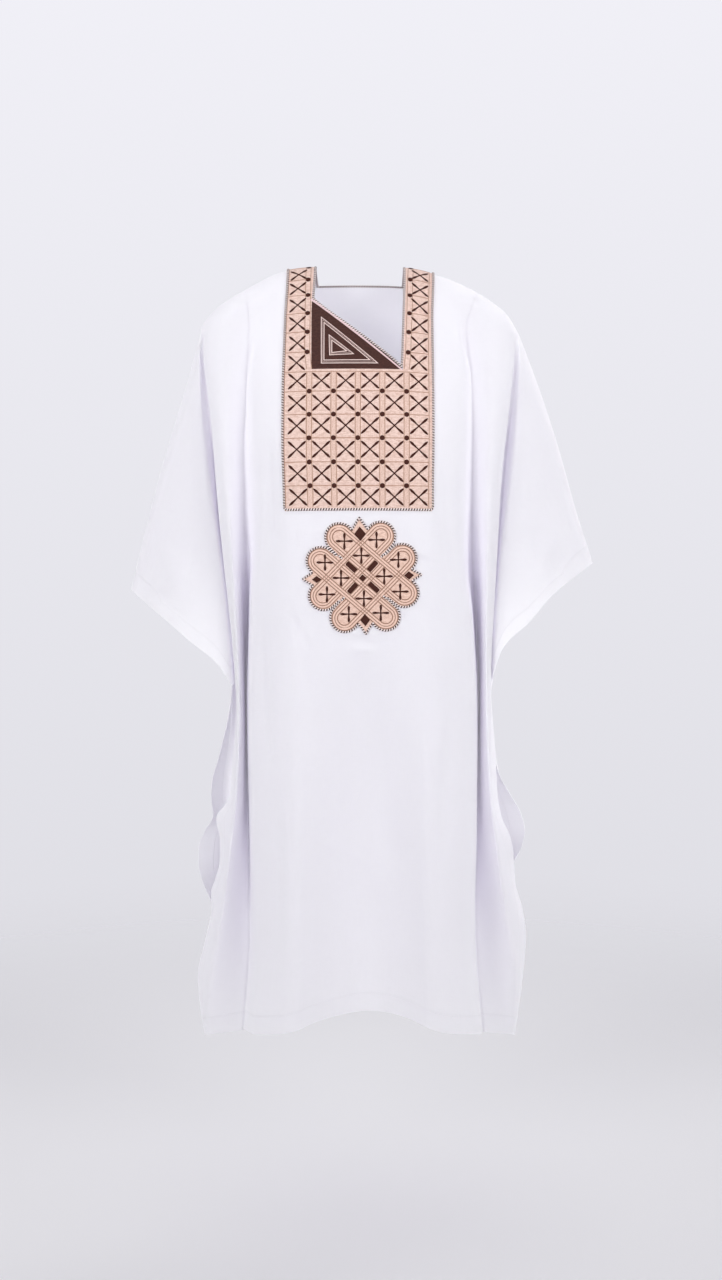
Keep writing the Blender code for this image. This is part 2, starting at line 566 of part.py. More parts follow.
def nudge(corners, chosen, across=0.0, along=0.0):
    """Move the chosen corners a little along the cloth, to part two pieces."""
    for key in corners:
        if chosen(*key):
            place_across, run, (over, down) = corners[key]
            corners[key] = (place_across, run, (over + across, down + along))


def neck_cell(i, j, columns, levels):
    """Say where a front cell lies: "open" neck, slanted "edge", dark "corner" or outside."""
    column = i - columns.index(NECK_COLUMNS[0])
    row = j - levels.index(NECK_ROWS[0])
    if not 0 <= column < NECK_STEPS or row >= NECK_STEPS:
        return "outside"
    if column > row:
        return "open"
    return "edge" if column == row else "corner"


def front_panel():
    """The front, from side seam to side seam, cut away along the slanted neck edge."""
    def kept(i, j):
        place = neck_cell(i, j, BODY_COLUMNS, FRONT_LEVELS)
        return {"open": False, "edge": "corner"}.get(place, True)

    corners, faces = grid(BODY_COLUMNS, FRONT_RUNS, kept)
    last = len(BODY_COLUMNS) - 1
    nudge(corners, lambda i, j: i == 0, across=SEAM_GAP / 2)
    nudge(corners, lambda i, j: i == last, across=-SEAM_GAP / 2)
    nudge(corners, lambda i, j: j == 0, along=SEAM_GAP / 2)
    return shell("front_panel", corners, faces, CLOTH)


def back_panel():
    """The back, from side seam to side seam, with the shallow neck of the back."""
    neck_rows = range(BACK_RUNS.index(-run_at(NECK_BACK)), len(BACK_RUNS))

    def kept(i, j):
        return not (j in neck_rows and -1.0 <= BACK_COLUMNS[i] < 1.0)

    corners, faces = grid(BACK_COLUMNS, BACK_RUNS, kept)
    last = len(BACK_COLUMNS) - 1
    top = len(BACK_RUNS) - 1
    nudge(corners, lambda i, j: i == 0, across=SEAM_GAP / 2)
    nudge(corners, lambda i, j: i == last, across=-SEAM_GAP / 2)
    nudge(corners, lambda i, j: j == top, along=-SEAM_GAP / 2)
    return shell("back_panel", corners, faces, CLOTH)


def sleeve(name, side):
    """The side of the robe, folded over the shoulder, open along the sleeve's edge."""
    runs = BACK_RUNS + FRONT_RUNS[1:]
    columns = SLEEVE_OUT if side == RIGHT else [-place for place in SLEEVE_OUT[::-1]]
    limit = run_at(SLEEVE_LEVEL) + NEAR

    def kept(i, j):
        in_sleeve = max(abs(runs[j]), abs(runs[j + 1])) <= limit
        return in_sleeve or max(abs(columns[i]), abs(columns[i + 1])) <= EDGE

    corners, faces = grid(columns, runs, kept)
    seam = columns.index(SEAM * side)
    nudge(corners, lambda i, j: i == seam, across=side * SEAM_GAP / 2)
    return shell(name, corners, faces, CLOTH)


def chest_bib():
    """The embroidered field, with a strap over each shoulder beside the neck."""
    columns = [place for place in BODY_COLUMNS if abs(place) <= 2.0]
    levels = FRONT_LEVELS[:FRONT_LEVELS.index(BIB_BOTTOM) + 1]
    runs = [run for run in BACK_RUNS if run >= -run_at(STRAP_BACK) - NEAR][:-1]
    behind = len(runs)
    runs += [run_at(level) for level in levels]

    def kept(i, j):
        if j < behind:
            return abs(columns[i] + columns[i + 1]) > 2.0
        return neck_cell(i, j - behind, columns, levels) == "outside"

    corners, faces = grid(columns, runs, kept)
    bottom = behind + levels.index(NECK_BOTTOM)
    left, right = columns.index(-1.0), columns.index(1.0)
    slant_top = behind + levels.index(NECK_LEVEL)
    nudge(corners, lambda i, j: i == left and slant_top < j <= bottom, across=-SEAM_GAP / 2)
    nudge(corners, lambda i, j: left <= i <= right and j == bottom, along=SEAM_GAP / 2)
    lift = (CLOTH + BIB_CLOTH) / 2 + LAID_GAP
    return shell("chest_bib", corners, faces, BIB_CLOTH, lift)


def neck_triangle():
    """The dark corner below the slanted neck edge."""
    columns = NECK_COLUMNS
    levels = NECK_ROWS
    runs = [run_at(level) for level in levels]
    keep = {"edge": "corner", "corner": True}
    corners, faces = grid(columns, runs, lambda i, j: keep.get(neck_cell(i, j, columns, levels), False))
    bottom = len(levels) - 1
    nudge(corners, lambda i, j: i == 0, across=SEAM_GAP / 2)
    nudge(corners, lambda i, j: j == bottom, along=-SEAM_GAP / 2)
    lift = (CLOTH + BIB_CLOTH) / 2 + LAID_GAP
    return shell("neck_triangle", corners, faces, BIB_CLOTH, lift)


def find(x, drop):
    """Find the (across, run) of the front point that lies at x, drop."""
    across, run = x / FOLD_WIDTH, drop + RIDGE_ROLL / 2
    for _ in range(FIND_TURNS):
        here = surface(across, run)
        over = (surface(across + ACROSS_STEP, run) - here) / ACROSS_STEP
        down = (surface(across, run + RUN_STEP) - here) / RUN_STEP
        slopes = np.array(((over[0], down[0]), (-over[2], -down[2])))
        change = np.linalg.solve(slopes, np.array((x - here[0], drop + here[2])))
        across += change[0]
        run += change[1]
    return across, run


def outline_reach(angle):
    """Give how far the medallion reaches at an angle, anticlockwise from its upper point."""
    out, up = abs(math.sin(angle)), abs(math.cos(angle))
    reach = CORE
    for petal in PETALS:
        ahead = petal.out * out + petal.up * up
        aside = petal.out * up - petal.up * out
        if abs(aside) < PETAL_ROUND:
            reach = max(reach, ahead + math.sqrt(PETAL_ROUND ** 2 - aside ** 2))
    quarter = round(angle / (math.pi / 2))
    lean = angle - quarter * math.pi / 2
    point = POINTS[quarter % len(POINTS)]
    rise = (point.reach - point.foot) / point.half
    tip = point.reach / (math.cos(lean) + rise * abs(math.sin(lean)))
    return max(reach, tip)


def medallion():
    """The eight-lobed patch, laid on the front."""
    corners = {}
    faces = []
    for i in range(OUTLINE_STEPS):
        angle = 2 * math.pi * i / OUTLINE_STEPS
        reach = outline_reach(angle)
        for j, share in enumerate(RINGS):
            out, up = -reach * share * math.sin(angle), reach * share * math.cos(angle)
            x = (MEDALLION_X + out * math.cos(MEDALLION_TURN_LEVEL)
                 - up * math.sin(MEDALLION_TURN_UPRIGHT))
            drop = (MEDALLION_DROP - out * math.sin(MEDALLION_TURN_LEVEL)
                    - up * math.cos(MEDALLION_TURN_UPRIGHT))
            corners[i, j] = (*find(x, drop), (0.0, 0.0))
        k = (i + 1) % OUTLINE_STEPS
        for j in range(len(RINGS) - 1):
            faces.append([(i, j), (i, j + 1), (k, j + 1), (k, j)])
    faces.append([(i, 0) for i in range(OUTLINE_STEPS)])
    lift = (CLOTH + PATCH_CLOTH) / 2 + PATCH_GAP
    return shell("medallion", corners, faces, PATCH_CLOTH, lift)


def neck_loop():
    """List the neck's edge as (across, run), round the opening from the left shoulder."""
    front = [run for run, level in zip(FRONT_RUNS, FRONT_LEVELS) if level <= NECK_BOTTOM]
    slant = list(zip(NECK_COLUMNS, [run_at(level) for level in NECK_ROWS]))
    back = [run for run in BACK_RUNS if run >= -run_at(NECK_BACK) - NEAR]
    behind = [place for place in BACK_COLUMNS if abs(place) < 1.0]
    loop = [(-1.0, run) for run in front if run < slant[0][1]]
    loop += slant
    loop += [(1.0, run) for run in front[::-1][1:]]
    loop += [(1.0, run) for run in back[:-1][::-1]]
    loop += [(place, back[0]) for place in behind[::-1]]
    loop += [(-1.0, run) for run in back[:-1]]
    return loop


def neck_binding():
    """A narrow edging that runs round the neck opening, just inside its edge."""
    frames = [frame_at(across, run) for across, run in neck_loop()]
    count = len(frames)
    low, high = BINDING_LIFT - BINDING_THICK / 2, BINDING_LIFT + BINDING_THICK / 2
    near, far = SEAM_GAP, SEAM_GAP + BINDING_WIDE
    vertices = []
    for i, (point, _, _, normal) in enumerate(frames):
        before = point - frames[i - 1][0]
        after = frames[(i + 1) % count][0] - point
        inward = []
        for span in (before, after):
            aside = np.cross(normal, span)
            inward.append(aside / np.linalg.norm(aside))
        miter = (inward[0] + inward[1]) / (1.0 + float(inward[0] @ inward[1]))
        for aside, height in ((near, high), (near, low), (far, low), (far, high)):
            vertices.append(point + miter * aside + normal * height)
    polygons = []
    for i in range(count):
        k = (i + 1) % count
        for corner in range(4):
            after = (corner + 1) % 4
            polygons.append([4 * i + corner, 4 * i + after, 4 * k + after, 4 * k + corner])
    mesh = bpy.data.meshes.new("neck_binding")
    mesh.from_pydata([tuple(vertex) for vertex in vertices], [], polygons)
    piece = bpy.data.objects.new("neck_binding", mesh)
    bpy.context.scene.collection.objects.link(piece)
    return piece


def finish(name):
    """Make a plain fabric material."""
    look = LOOKS[name]
    colour = (look.red, look.green, look.blue, 1.0)
    material = bpy.data.materials.new(name)
    material.use_nodes = True
    shader = material.node_tree.nodes["Principled BSDF"]
    shader.inputs["Base Color"].default_value = colour
    shader.inputs["Roughness"].default_value = look.roughness
    shader.inputs["Metallic"].default_value = 0.0
    material.diffuse_color = colour
    return material


def main():
    """Build the robe's pieces and give each its material."""
    for old in list(bpy.data.objects):
        bpy.data.objects.remove(old, do_unlink=True)
    materials = {name: finish(name) for name in LOOKS}
    pieces = (
        (front_panel(), "white_cotton"),
        (back_panel(), "white_cotton"),
        (sleeve("sleeve_left", LEFT), "white_cotton"),
        (sleeve("sleeve_right", RIGHT), "white_cotton"),
        (chest_bib(), "peach_embroidery"),
        (neck_triangle(), "brown_satin"),
        (medallion(), "peach_embroidery"),
        (neck_binding(), "rope_edging"),
    )
    for piece, look in pieces:
        piece.data.materials.append(materials[look])


main()
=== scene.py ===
"""A white grand boubou with an embroidered chest field, a dark neck corner and a medallion.

Units are metres, +Z is up, and the robe faces -Y.  The cloth is one smooth surface, worked
out from fold lines.  Each sewn piece is a thin shell on a stretch of it, and the embroidery
is laid on it by distance aside and distance down from the shoulder.  Tables are in
millimetres.
"""

import math
from collections import namedtuple
from functools import lru_cache

import bpy
import numpy as np
from bpy.props import FloatProperty, FloatVectorProperty, PointerProperty
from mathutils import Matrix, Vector


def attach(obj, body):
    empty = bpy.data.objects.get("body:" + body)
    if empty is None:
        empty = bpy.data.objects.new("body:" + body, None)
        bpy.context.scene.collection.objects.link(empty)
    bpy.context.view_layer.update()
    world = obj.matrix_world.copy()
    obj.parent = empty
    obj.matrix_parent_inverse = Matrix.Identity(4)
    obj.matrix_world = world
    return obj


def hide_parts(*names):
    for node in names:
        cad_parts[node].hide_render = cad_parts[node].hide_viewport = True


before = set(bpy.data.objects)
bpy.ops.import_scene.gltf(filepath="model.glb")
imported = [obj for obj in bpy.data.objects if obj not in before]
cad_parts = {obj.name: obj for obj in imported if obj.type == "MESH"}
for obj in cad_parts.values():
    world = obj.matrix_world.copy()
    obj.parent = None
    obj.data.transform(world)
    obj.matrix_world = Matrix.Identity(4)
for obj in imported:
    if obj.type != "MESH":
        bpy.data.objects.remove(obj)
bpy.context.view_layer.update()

bl_info = {
    "name": "Grand boubou",
    "version": (1, 0, 0),
    "blender": (4, 5, 0),
    "location": "3D View > Sidebar > Boubou",
    "description": "Builds a white grand boubou with its embroidery",
    "category": "Object",
}

MM = 0.001
LEFT, RIGHT = -1, 1
FRONT, BACK = -1, 1

# A row of a fold line: drop below the neck, distance out from the middle, distance
# forward of the shoulder ridge (or behind it, for the back)
Row = namedtuple("Row", "drop out depth")


def named(*rows, kind=Row):
    """Name the columns of a table's rows."""
    return [kind(*row) for row in rows]


def both(left, right, kind=Row):
    """Gather the left side's table and the right side's."""
    return {LEFT: named(*left, kind=kind), RIGHT: named(*right, kind=kind)}


# Heights, as levels: how far a row of cloth hangs below the shoulder ridge
LENGTH = 1.186           # shoulder ridge to the middle of the front hem
SLEEVE_LEVEL = 0.660     # where the sleeve's lower edge passes behind the arm fold
RIDGE_FADE = 0.385       # by this level the slope of the shoulders has evened out
RIDGE_ROLL = 0.040       # cloth taken up by the roll over the shoulder
SPREAD_LEVEL = 0.080     # folds reach their own places by this level
NECK_LEVEL = 0.054       # upper end of the slanted neck edge
NECK_BOTTOM = 0.168      # lower end of the slanted neck edge
BIB_BOTTOM = 0.385
STRAP_BACK = 0.030       # level behind the ridge where the straps end
NECK_BACK = 0.030        # level of the neck edge at the back
HEM_LEVEL_BACK = 1.205
BEND_HIGH = 0.220        # bends change from their high to their low size from here
BEND_LOW = 0.470         # down to here
SIDE_SEAM_STEP = 0.0008  # each edge's distance from the middle of the side seam
NEAR = 1e-4              # levels closer than this are the same
SEAM, EDGE, WING, TIP = 4.5, 8, 10, 14   # the side seam, the cloth's edge, the inner fold, the tip

# Walls and lifts of the sewn pieces, out from the middle of the robe's cloth
CLOTH = 0.0010
BIB_CLOTH = 0.0009
BIB_LIFT = 0.00115
PATCH_LIFT = 0.00120
SEAM_GAP = 0.0001  # between two sewn pieces
SHARP_ANGLE = 50.0

# The net of the cloth: rows between levels, and columns between folds
Stretch = namedtuple("Stretch", "level rows")
NECK_STEPS = 28  # rows, and columns, that the slanted edge crosses
FRONT_STRETCHES = named((0.0, 16), (NECK_LEVEL, NECK_STEPS), (NECK_BOTTOM, 44), (BIB_BOTTOM, 55),
                        (SLEEVE_LEVEL, 105), (LENGTH, 0), kind=Stretch)
BACK_STRETCHES = named((0.0, 12), (NECK_BACK, 120), (SLEEVE_LEVEL, 106), (HEM_LEVEL_BACK, 0),
                       kind=Stretch)
COLUMNS_A_FOLD = (14, 14, 12, 10, 6, 8, 6, 6, 4, 6, 8, 8, 8, 8)

# Creases pressed into the cloth: from one place to another, as folds across and
# millimetres from the ridge; bow: folds aside at mid-way; depth: millimetres out of the
# cloth, less than nothing for a trough; width: millimetres to either side
Crease = namedtuple("Crease", "across run to_across to_run bow depth width")
CREASE_STEPS = 12
CREASE_FOLDS = 2.6  # how many folds to either side a crease can reach
CREASE_TAPER = 0.55  # width at its ends, as a share of its full width
CREASE_FADE = 0.8
CREASES = named(
    # The deep folds beside the body, drawn together
    (-3.60, 500, -3.60, 1100, 0.0, 4.2, 40),
    (3.60, 500, 3.60, 1100, 0.0, 4.2, 40),
    # Front, beside and below the chest field
    (-2.45, 300, -2.62, 480, 0.10, -5.0, 14),
    (-2.20, 250, -2.30, 400, 0.05, 2.2, 9),
    (2.35, 330, 2.60, 520, -0.08, -3.4, 13),
    (-1.30, 433, 0.10, 438, 0.0, 1.5, 5),
    (-0.30, 448, 1.20, 441, 0.0, -1.2, 6),
    (0.90, 466, 1.95, 470, 0.02, 1.8, 5),
    (1.05, 476, 2.15, 486, 0.0, -1.5, 6),
    (-0.50, 592, 0.95, 590, 0.0, 2.0, 5),
    (-0.45, 604, 0.70, 607, 0.0, -2.0, 6),
    (-0.20, 618, 0.35, 620, 0.0, 1.4, 6),
    (-1.75, 560, -1.15, 620, 0.0, -2.0, 9),
    # Front, the long soft falls of the skirt
    (0.10, 620, 0.24, 1330, 0.04, -20.0, 64),
    (-0.62, 700, -0.30, 1120, 0.06, -4.2, 26),
    (0.62, 690, 0.55, 1080, -0.05, -3.2, 20),
    (-1.62, 640, -1.50, 1010, 0.05, 3.4, 20),
    (1.58, 760, 1.44, 1130, 0.04, 3.0, 18),
    (-2.30, 830, -2.52, 1180, 0.08, -4.0, 14),
    (2.42, 690, 2.20, 960, -0.06, -3.2, 13),
    (-2.66, 560, -2.50, 800, 0.04, -3.6, 12),
    (0.10, 905, 1.05, 1185, 0.08, 2.4, 20),
    # Front shoulders, pulled from the neck towards the arms
    (-2.60, 40, -5.20, 190, 0.10, -2.6, 12),
    (-2.90, 95, -4.10, 250, -0.05, 1.9, 11),
    (2.55, 45, 5.00, 175, -0.12, -2.4, 12),
    (2.95, 110, 4.05, 240, 0.05, 1.7, 10),
    # Front of the sleeves
    (-11.20, 365, -11.75, 455, 0.06, -2.2, 9),
    (-12.60, 230, -12.20, 520, 0.10, 1.8, 14),
    (-10.70, 150, -10.95, 300, 0.05, 1.2, 9),
    (-13.20, 430, -12.90, 610, 0.03, -1.6, 11),
    (11.50, 330, 11.95, 500, -0.05, -1.9, 11),
    (12.80, 200, 12.30, 430, 0.08, 1.7, 14),
    (10.75, 170, 11.05, 330, -0.04, 1.2, 9),
    (13.10, 380, 12.85, 560, 0.0, -1.5, 11),
    # Back of the body
    (-0.80, -90, -0.45, -520, 0.08, -4.8, 21),
    (0.70, -130, 0.52, -610, -0.06, 4.0, 19),
    (-1.85, -60, -1.60, -420, 0.05, 3.2, 14),
    (1.90, -75, 1.55, -380, -0.07, -3.6, 15),
    (0.05, -560, -0.30, -1130, 0.10, -7.5, 34),
    (-1.40, -640, -1.72, -1200, 0.05, 4.4, 19),
    (1.35, -700, 1.62, -1180, -0.05, -5.0, 21),
    (2.55, -420, 2.40, -900, 0.06, 2.0, 13),
    (-2.60, -380, -2.45, -820, -0.06, -2.2, 13),
    (-3.00, -70, -5.10, -210, 0.10, -1.7, 12),
    (3.00, -80, 5.20, -230, -0.10, -1.6, 12),
    (-2.35, -150, -3.90, -330, 0.05, 1.3, 12),
    (2.40, -170, 3.80, -350, -0.05, 1.2, 11),
    # Back of the sleeves
    (-11.60, -240, -11.90, -520, 0.08, -2.0, 12),
    (-12.80, -180, -12.50, -470, -0.06, 1.8, 14),
    (11.40, -210, 11.80, -470, -0.07, -1.9, 12),
    (12.90, -190, 12.60, -480, 0.06, 1.7, 13),
    kind=Crease)

# Charts of the front, for laying embroidery
CHART_LEVEL = 0.700  # how far down they reach
CHART_FOLDS = 3  # and how far out
FIND_TURNS, FIND_STEP = 7, 0.05  # turns of the search for a place, and its trial step
ROPE_SIDES, ROPE_STEP = 8, 0.0006
ROPE_LOBE = 0.17  # how far the two threads stand out of a round section

# Chest field.  Places aside are metres to the viewer's right of the middle, or shares of
# the field's width; places down are metres along the cloth from the shoulder ridge
FIELD_TOP = 0.2054
FIELD_BOTTOM_MARGIN = 0.0055
CROSS_ROWS = (0.2203, 0.2558, 0.2919, 0.3286, 0.3654, 0.4014)
CROSS_COLUMNS = tuple(0.101 + 0.1595 * k for k in range(6))
DOT_ROWS = (0.2372, 0.2742, 0.3110, 0.3480, 0.3842)
DOT_COLUMNS = tuple(0.181 + 0.1595 * k for k in range(5))
CROSS_WIDE, CROSS_HIGH = 0.0270, 0.0252
Strap = namedtuple("Strap", "down aside high")
STRAP_CROSSES = both(
    ((0.0262, -0.0980, 0.0200), (0.0535, -0.0990, 0.0215), (0.0868, -0.0988, 0.0245),
     (0.1213, -0.0987, 0.0255), (0.1561, -0.0984, 0.0250), (0.1898, -0.0990, 0.0250)),
    ((0.0240, 0.0930, 0.0195), (0.0531, 0.0927, 0.0215), (0.0860, 0.0917, 0.0245),
     (0.1215, 0.0911, 0.0255), (0.1562, 0.0900, 0.0250), (0.1882, 0.0890, 0.0250)),
    kind=Strap)
Dot = namedtuple("Dot", "down aside")
STRAP_DOTS = both(
    ((0.0075, -0.0826), (0.0377, -0.0830), (0.0680, -0.0829), (0.1029, -0.0830),
     (0.1369, -0.0831), (0.1719, -0.0830)),
    ((0.0060, 0.0790), (0.0360, 0.0775), (0.0670, 0.0766), (0.1020, 0.0755),
     (0.1364, 0.0739), (0.1719, 0.0727)), kind=Dot)
BACK_CROSS = Strap(-0.0150, 0.0, 0.020)  # behind the ridge, in line with either strap
STRAP_END = 0.004  # from a strap's end to the ends of its lines
STRAP_CROSS_WIDE = CROSS_WIDE * 0.94
LINE_STEP = 0.006  # from one place of a long line to the next
DOT_RADIUS, DOT_AROUND = 0.0041, 14
DOT_RISE = 1.1  # height of the field's dots, against the straps'
BAND_HALF = 0.0040  # from the middle of a double line to either line
CROSS_SHARES = (0.0, 0.16, 0.42, 0.70, 0.88, 1.0)  # along an arm, from the crossing
CROSS_WIDTHS = (0.0024, 0.0019, 0.0028, 0.0042, 0.0034, 0.0016)
CROSS_STEPS = 15
CROSS_OVER = 1.2  # height of the upper stroke, against the lower one

# Lines of stitching, each as its width and its height in metres
COLUMN_LINE, ROW_LINE = (0.0013, 0.00050), (0.0014, 0.00052)
BORDER_LINE, STRAP_LINE = (0.0013, 0.00048), (0.0012, 0.00046)
COLUMN_BAND = (2 * BAND_HALF, 0.00022)
CORNER_LINE, CORNER_FINE, CORNER_FILL = (0.0013, 0.0006), (0.00045, 0.0005), (0.0026, 0.0003)

# Dark corner below the neck's slanted edge: corners of its lines, as aside and down
CORNER_DARK = ((-0.0768, 0.0842), (0.0569, 0.2016))  # the ends of its slanted side
CORNER_LINES = (((-0.0616, 0.1115), (-0.0610, 0.1914), (0.0255, 0.1914)),
                ((-0.0573, 0.1212), (-0.0571, 0.1864), (0.0136, 0.1861)),
                ((-0.0493, 0.1435), (-0.0483, 0.1777), (-0.0117, 0.1760)),
                ((-0.0451, 0.1526), (-0.0450, 0.1738), (-0.0222, 0.1711)))

# The slanted band beside it
SLANT_FREE = 0.0026  # kept free of it in its breadth, for the rope
SLANT_SHIFT = 0.0002  # inwards, off the neck's edge
SLANT_GAP, SLANT_RISE = 0.0004, 0.0005  # beside the dark corner, and the band's height

# Medallion, in metres out and up from its middle, before its turn
MEDALLION_X, MEDALLION_DROP = 0.0025, 0.4865
MEDALLION_TURN_UPRIGHT = math.radians(3.4)  # anticlockwise from the front
MEDALLION_TURN_LEVEL = math.radians(2.2)  # the cloth is drawn a little out of square
PETAL_ROUND = 0.0225
LOOP_ROUND = 0.0145
LOOP_BAND, LOOP_LINE = (0.0080, 0.0003), (0.0017, 0.00050)  # width and height
LOOP_OVER = 0.00022  # from a loop's inner side up to its outer side
CORE = 0.050  # reach of the round middle, between the petals
NOTCH_REACH = 0.0420  # where the rope in a notch ends
INNER_CROSS = 0.0330  # from the middle to the crosses on the axes
OUTER_CROSSES = ((0.0245, 0.0560), (0.0560, 0.0245))
SLAB = np.array(((-1, -1), (1, -1), (1, 1), (-1, 1))) * (0.0095, 0.0037) + (0.0230, 0.0)
SLAB_STEP = 0.0025  # between places round a slab
PLATE_EDGE = 0.0012  # how far in from its outline a plate is rounded off
DIAMOND_LIFT = 0.0003  # above the stitches that cross below it
PATCH_CROSS_WIDE = CROSS_WIDE * 0.96
Petal = namedtuple("Petal", "out up")  # middle of a petal's round end
PETALS = named((0.0318, 0.0625), (0.0628, 0.0270), kind=Petal)
Point = namedtuple("Point", "reach half foot")  # to its tip, and half its width at its foot
POINTS = named((0.0927, 0.0125, 0.074), (0.0930, 0.0120, 0.075), (0.0890, 0.0120, 0.072),
               (0.0915, 0.0105, 0.074), kind=Point)  # up, then anticlockwise
Diamond = namedtuple("Diamond", "out up wide high")
DIAMONDS = named((0.0, 0.0661, 0.0184, 0.0222), (0.0708, -0.0002, 0.0152, 0.0127),
                 (0.0, -0.0660, 0.0152, 0.0195), (-0.0702, -0.0010, 0.0146, 0.0106),
                 (0.0, -0.0013, 0.0115, 0.0110), kind=Diamond)
PATCH_AROUND, PATCH_RINGS = 360, 16
PATCH_TINT = (1.04, 0.99, 0.94)  # the medallion is a warmer peach
PATCH_BASE = PATCH_LIFT + BIB_CLOTH / 2 - 0.00005  # where the medallion's stitching starts
OUTLINE_STEPS = 720
FIELD_BASE = 0.00155  # where stitching starts above the middle of the cloth
BORDER = {LEFT: 0.0040, RIGHT: 0.0080}  # from the field's edge to its outer line
CORNER_ROUND = 0.0050  # radius of the rope's turn at the field's foot
NECK_ROPE_STEPS = (0.004, 0.02, 0.004, 0.05, 0.004)  # down the neck's sides and across
EDGING_LIFT = 0.0010  # of the neck's rope, above the middle of the cloth
EDGING_RISE = 0.3  # how high the rope lies on embroidery, in its heights
PATCH_ROPE = 0.92  # width of the medallion's rope, against the others
STITCH_PITCH = 0.0032
BAND_PITCH, LINE_PITCH, CORNER_PITCH = 0.0011, 0.0008, 0.0009  # from thread to thread
FABRIC_GLOSS, DARK_GLOSS = 0.25, 0.08
THROUGH_REACH = 0.004  # how far light spreads inside the cotton
FLOOR_REACH, FLOOR_AROUND = 2.6, 96
Lamp = namedtuple("Lamp", "name kind share x y z aim wide high")
LAMPS = named(("key_lamp", "key", 1.0, -1.8, -2.6, 0.45, -0.27, 1.6, 1.5),
              ("fill_lamp", "fill", 1.0, 2.0, -2.4, 0.40, -0.27, 1.6, 1.5),
              ("back_lamp", "fill", 0.8, 1.7, 2.2, 0.9, -0.6, 2.0, 2.0), kind=Lamp)
CAMERA_PLACE, CAMERA_TILT = (0.0, -3.10, -0.263), math.radians(83.76)
CAMERA_LENS, PICTURE_HEIGHT = 54.0, 36.0  # millimetres
LIGHT_BOUNCES = 16  # white cloth passes light on many times in its folds
LAMP_SPREAD = math.radians(46)
SKY_RISE = (-0.35, 0.45, 0.92, 1.22)  # from a height to a height, light there and here
SKY_BEHIND = (-0.25, 0.35, 0.70, 1.0)  # the same from behind the camera forwards

# Fold lines, which run down the robe
MIDDLE = named(
    (0, 0, 22), (33, 0, 35), (73, 0, 66), (135, 0, 103), (197, 0, 130), (270, 0, 152),
    (345, 0, 165), (450, 0, 171), (600, 0, 168), (700, 0, 160), (900, 0, 140), (1050, 0, 125),
    (1220, 0, 115))

NECK = both(
    ((0, 83, 22), (33, 83, 33), (73, 82, 63), (135, 81, 99), (197, 80, 126), (270, 78, 149),
     (345, 76, 162), (450, 74, 169), (600, 72, 169), (700, 70, 166), (900, 68, 158),
     (1050, 66, 152), (1220, 66, 148)),
    ((0, 74, 22), (33, 74, 33), (73, 73, 63), (135, 70, 99), (197, 67, 126), (270, 65, 150),
     (345, 64, 163), (450, 64, 170), (600, 68, 169), (700, 70, 165), (900, 73, 154),
     (1050, 75, 145), (1220, 76, 139)))
FLUTE = both(
    ((0, 118, 22), (33, 119, 31), (73, 120, 56), (135, 121, 91), (197, 122, 118), (270, 122, 140),
     (345, 120, 152), (450, 118, 160), (600, 117, 163), (700, 115, 166), (900, 112, 174),
     (1050, 110, 180), (1220, 108, 185)),
    ((0, 114, 22), (33, 114, 31), (73, 113, 56), (135, 112, 91), (197, 112, 120), (270, 112, 142),
     (345, 111, 154), (450, 112, 161), (600, 114, 164), (700, 116, 166), (900, 118, 172),
     (1050, 119, 177), (1220, 119, 181)))
SIDE = both(
    ((0, 150, 22), (70, 153, 55), (138, 158, 86), (216, 162, 106), (295, 162, 117),
     (371, 159, 119), (449, 162, 115), (527, 172, 111), (685, 176, 108), (860, 172, 113),
     (1083, 164, 124), (1219, 172, 130)),
    ((0, 146, 22), (70, 150, 55), (138, 156, 86), (216, 159, 106), (295, 159, 117),
     (371, 157, 119), (464, 158, 115), (558, 173, 111), (685, 180, 109), (901, 181, 116),
     (1037, 176, 123), (1209, 192, 128)))
GULLY = both(
    ((0, 172, 25), (70, 174, 52), (138, 177, 66), (216, 181, 71), (295, 184, 72), (374, 184, 67),
     (454, 183, 50), (537, 183, 16), (700, 185, -8), (860, 184, 0), (1083, 184, 26),
     (1240, 194, 56)),
    ((0, 162, 25), (70, 163, 51), (120, 166, 62), (182, 173, 70), (250, 175, 74), (354, 175, 69),
     (443, 177, 48), (537, 183, 14), (700, 189, -8), (860, 188, 0), (1083, 190, 28),
     (1240, 200, 66)))
ARM_FOLD = both(
    ((0, 196, 30), (70, 205, 60), (138, 212, 82), (216, 213, 98), (295, 210, 106), (375, 206, 108),
     (455, 202, 104), (540, 197, 98), (690, 192, 92), (850, 199, 84), (933, 209, 78),
     (1016, 220, 72), (1101, 236, 62), (1187, 249, 50), (1260, 251, 40)),
    ((0, 188, 30), (70, 196, 58), (120, 201, 76), (210, 205, 97), (316, 200, 106), (370, 199, 106),
     (440, 197, 102), (540, 196, 96), (688, 198, 90), (850, 207, 80), (933, 218, 75),
     (1016, 230, 68), (1075, 241, 60), (1147, 251, 50), (1260, 248, 38)))
ARM_LIP = both(
    ((0, 228, 38), (100, 240, 54), (138, 246, 62), (199, 240, 72), (255, 234, 78), (353, 227, 80),
     (460, 218, 80), (609, 204, 78), (690, 199, 72), (785, 202, 70), (850, 207, 64),
     (891, 221, 56), (933, 220, 57), (1016, 235, 46), (1101, 249, 36), (1187, 262, 27),
     (1260, 257, 22)),
    ((0, 222, 38), (100, 233, 56), (165, 236, 70), (210, 232, 76), (265, 227, 80), (316, 221, 82),
     (440, 215, 82), (541, 211, 80), (660, 206, 74), (790, 210, 68), (853, 214, 60),
     (919, 231, 50), (969, 239, 40), (1048, 253, 34), (1147, 261, 26), (1260, 253, 21)))
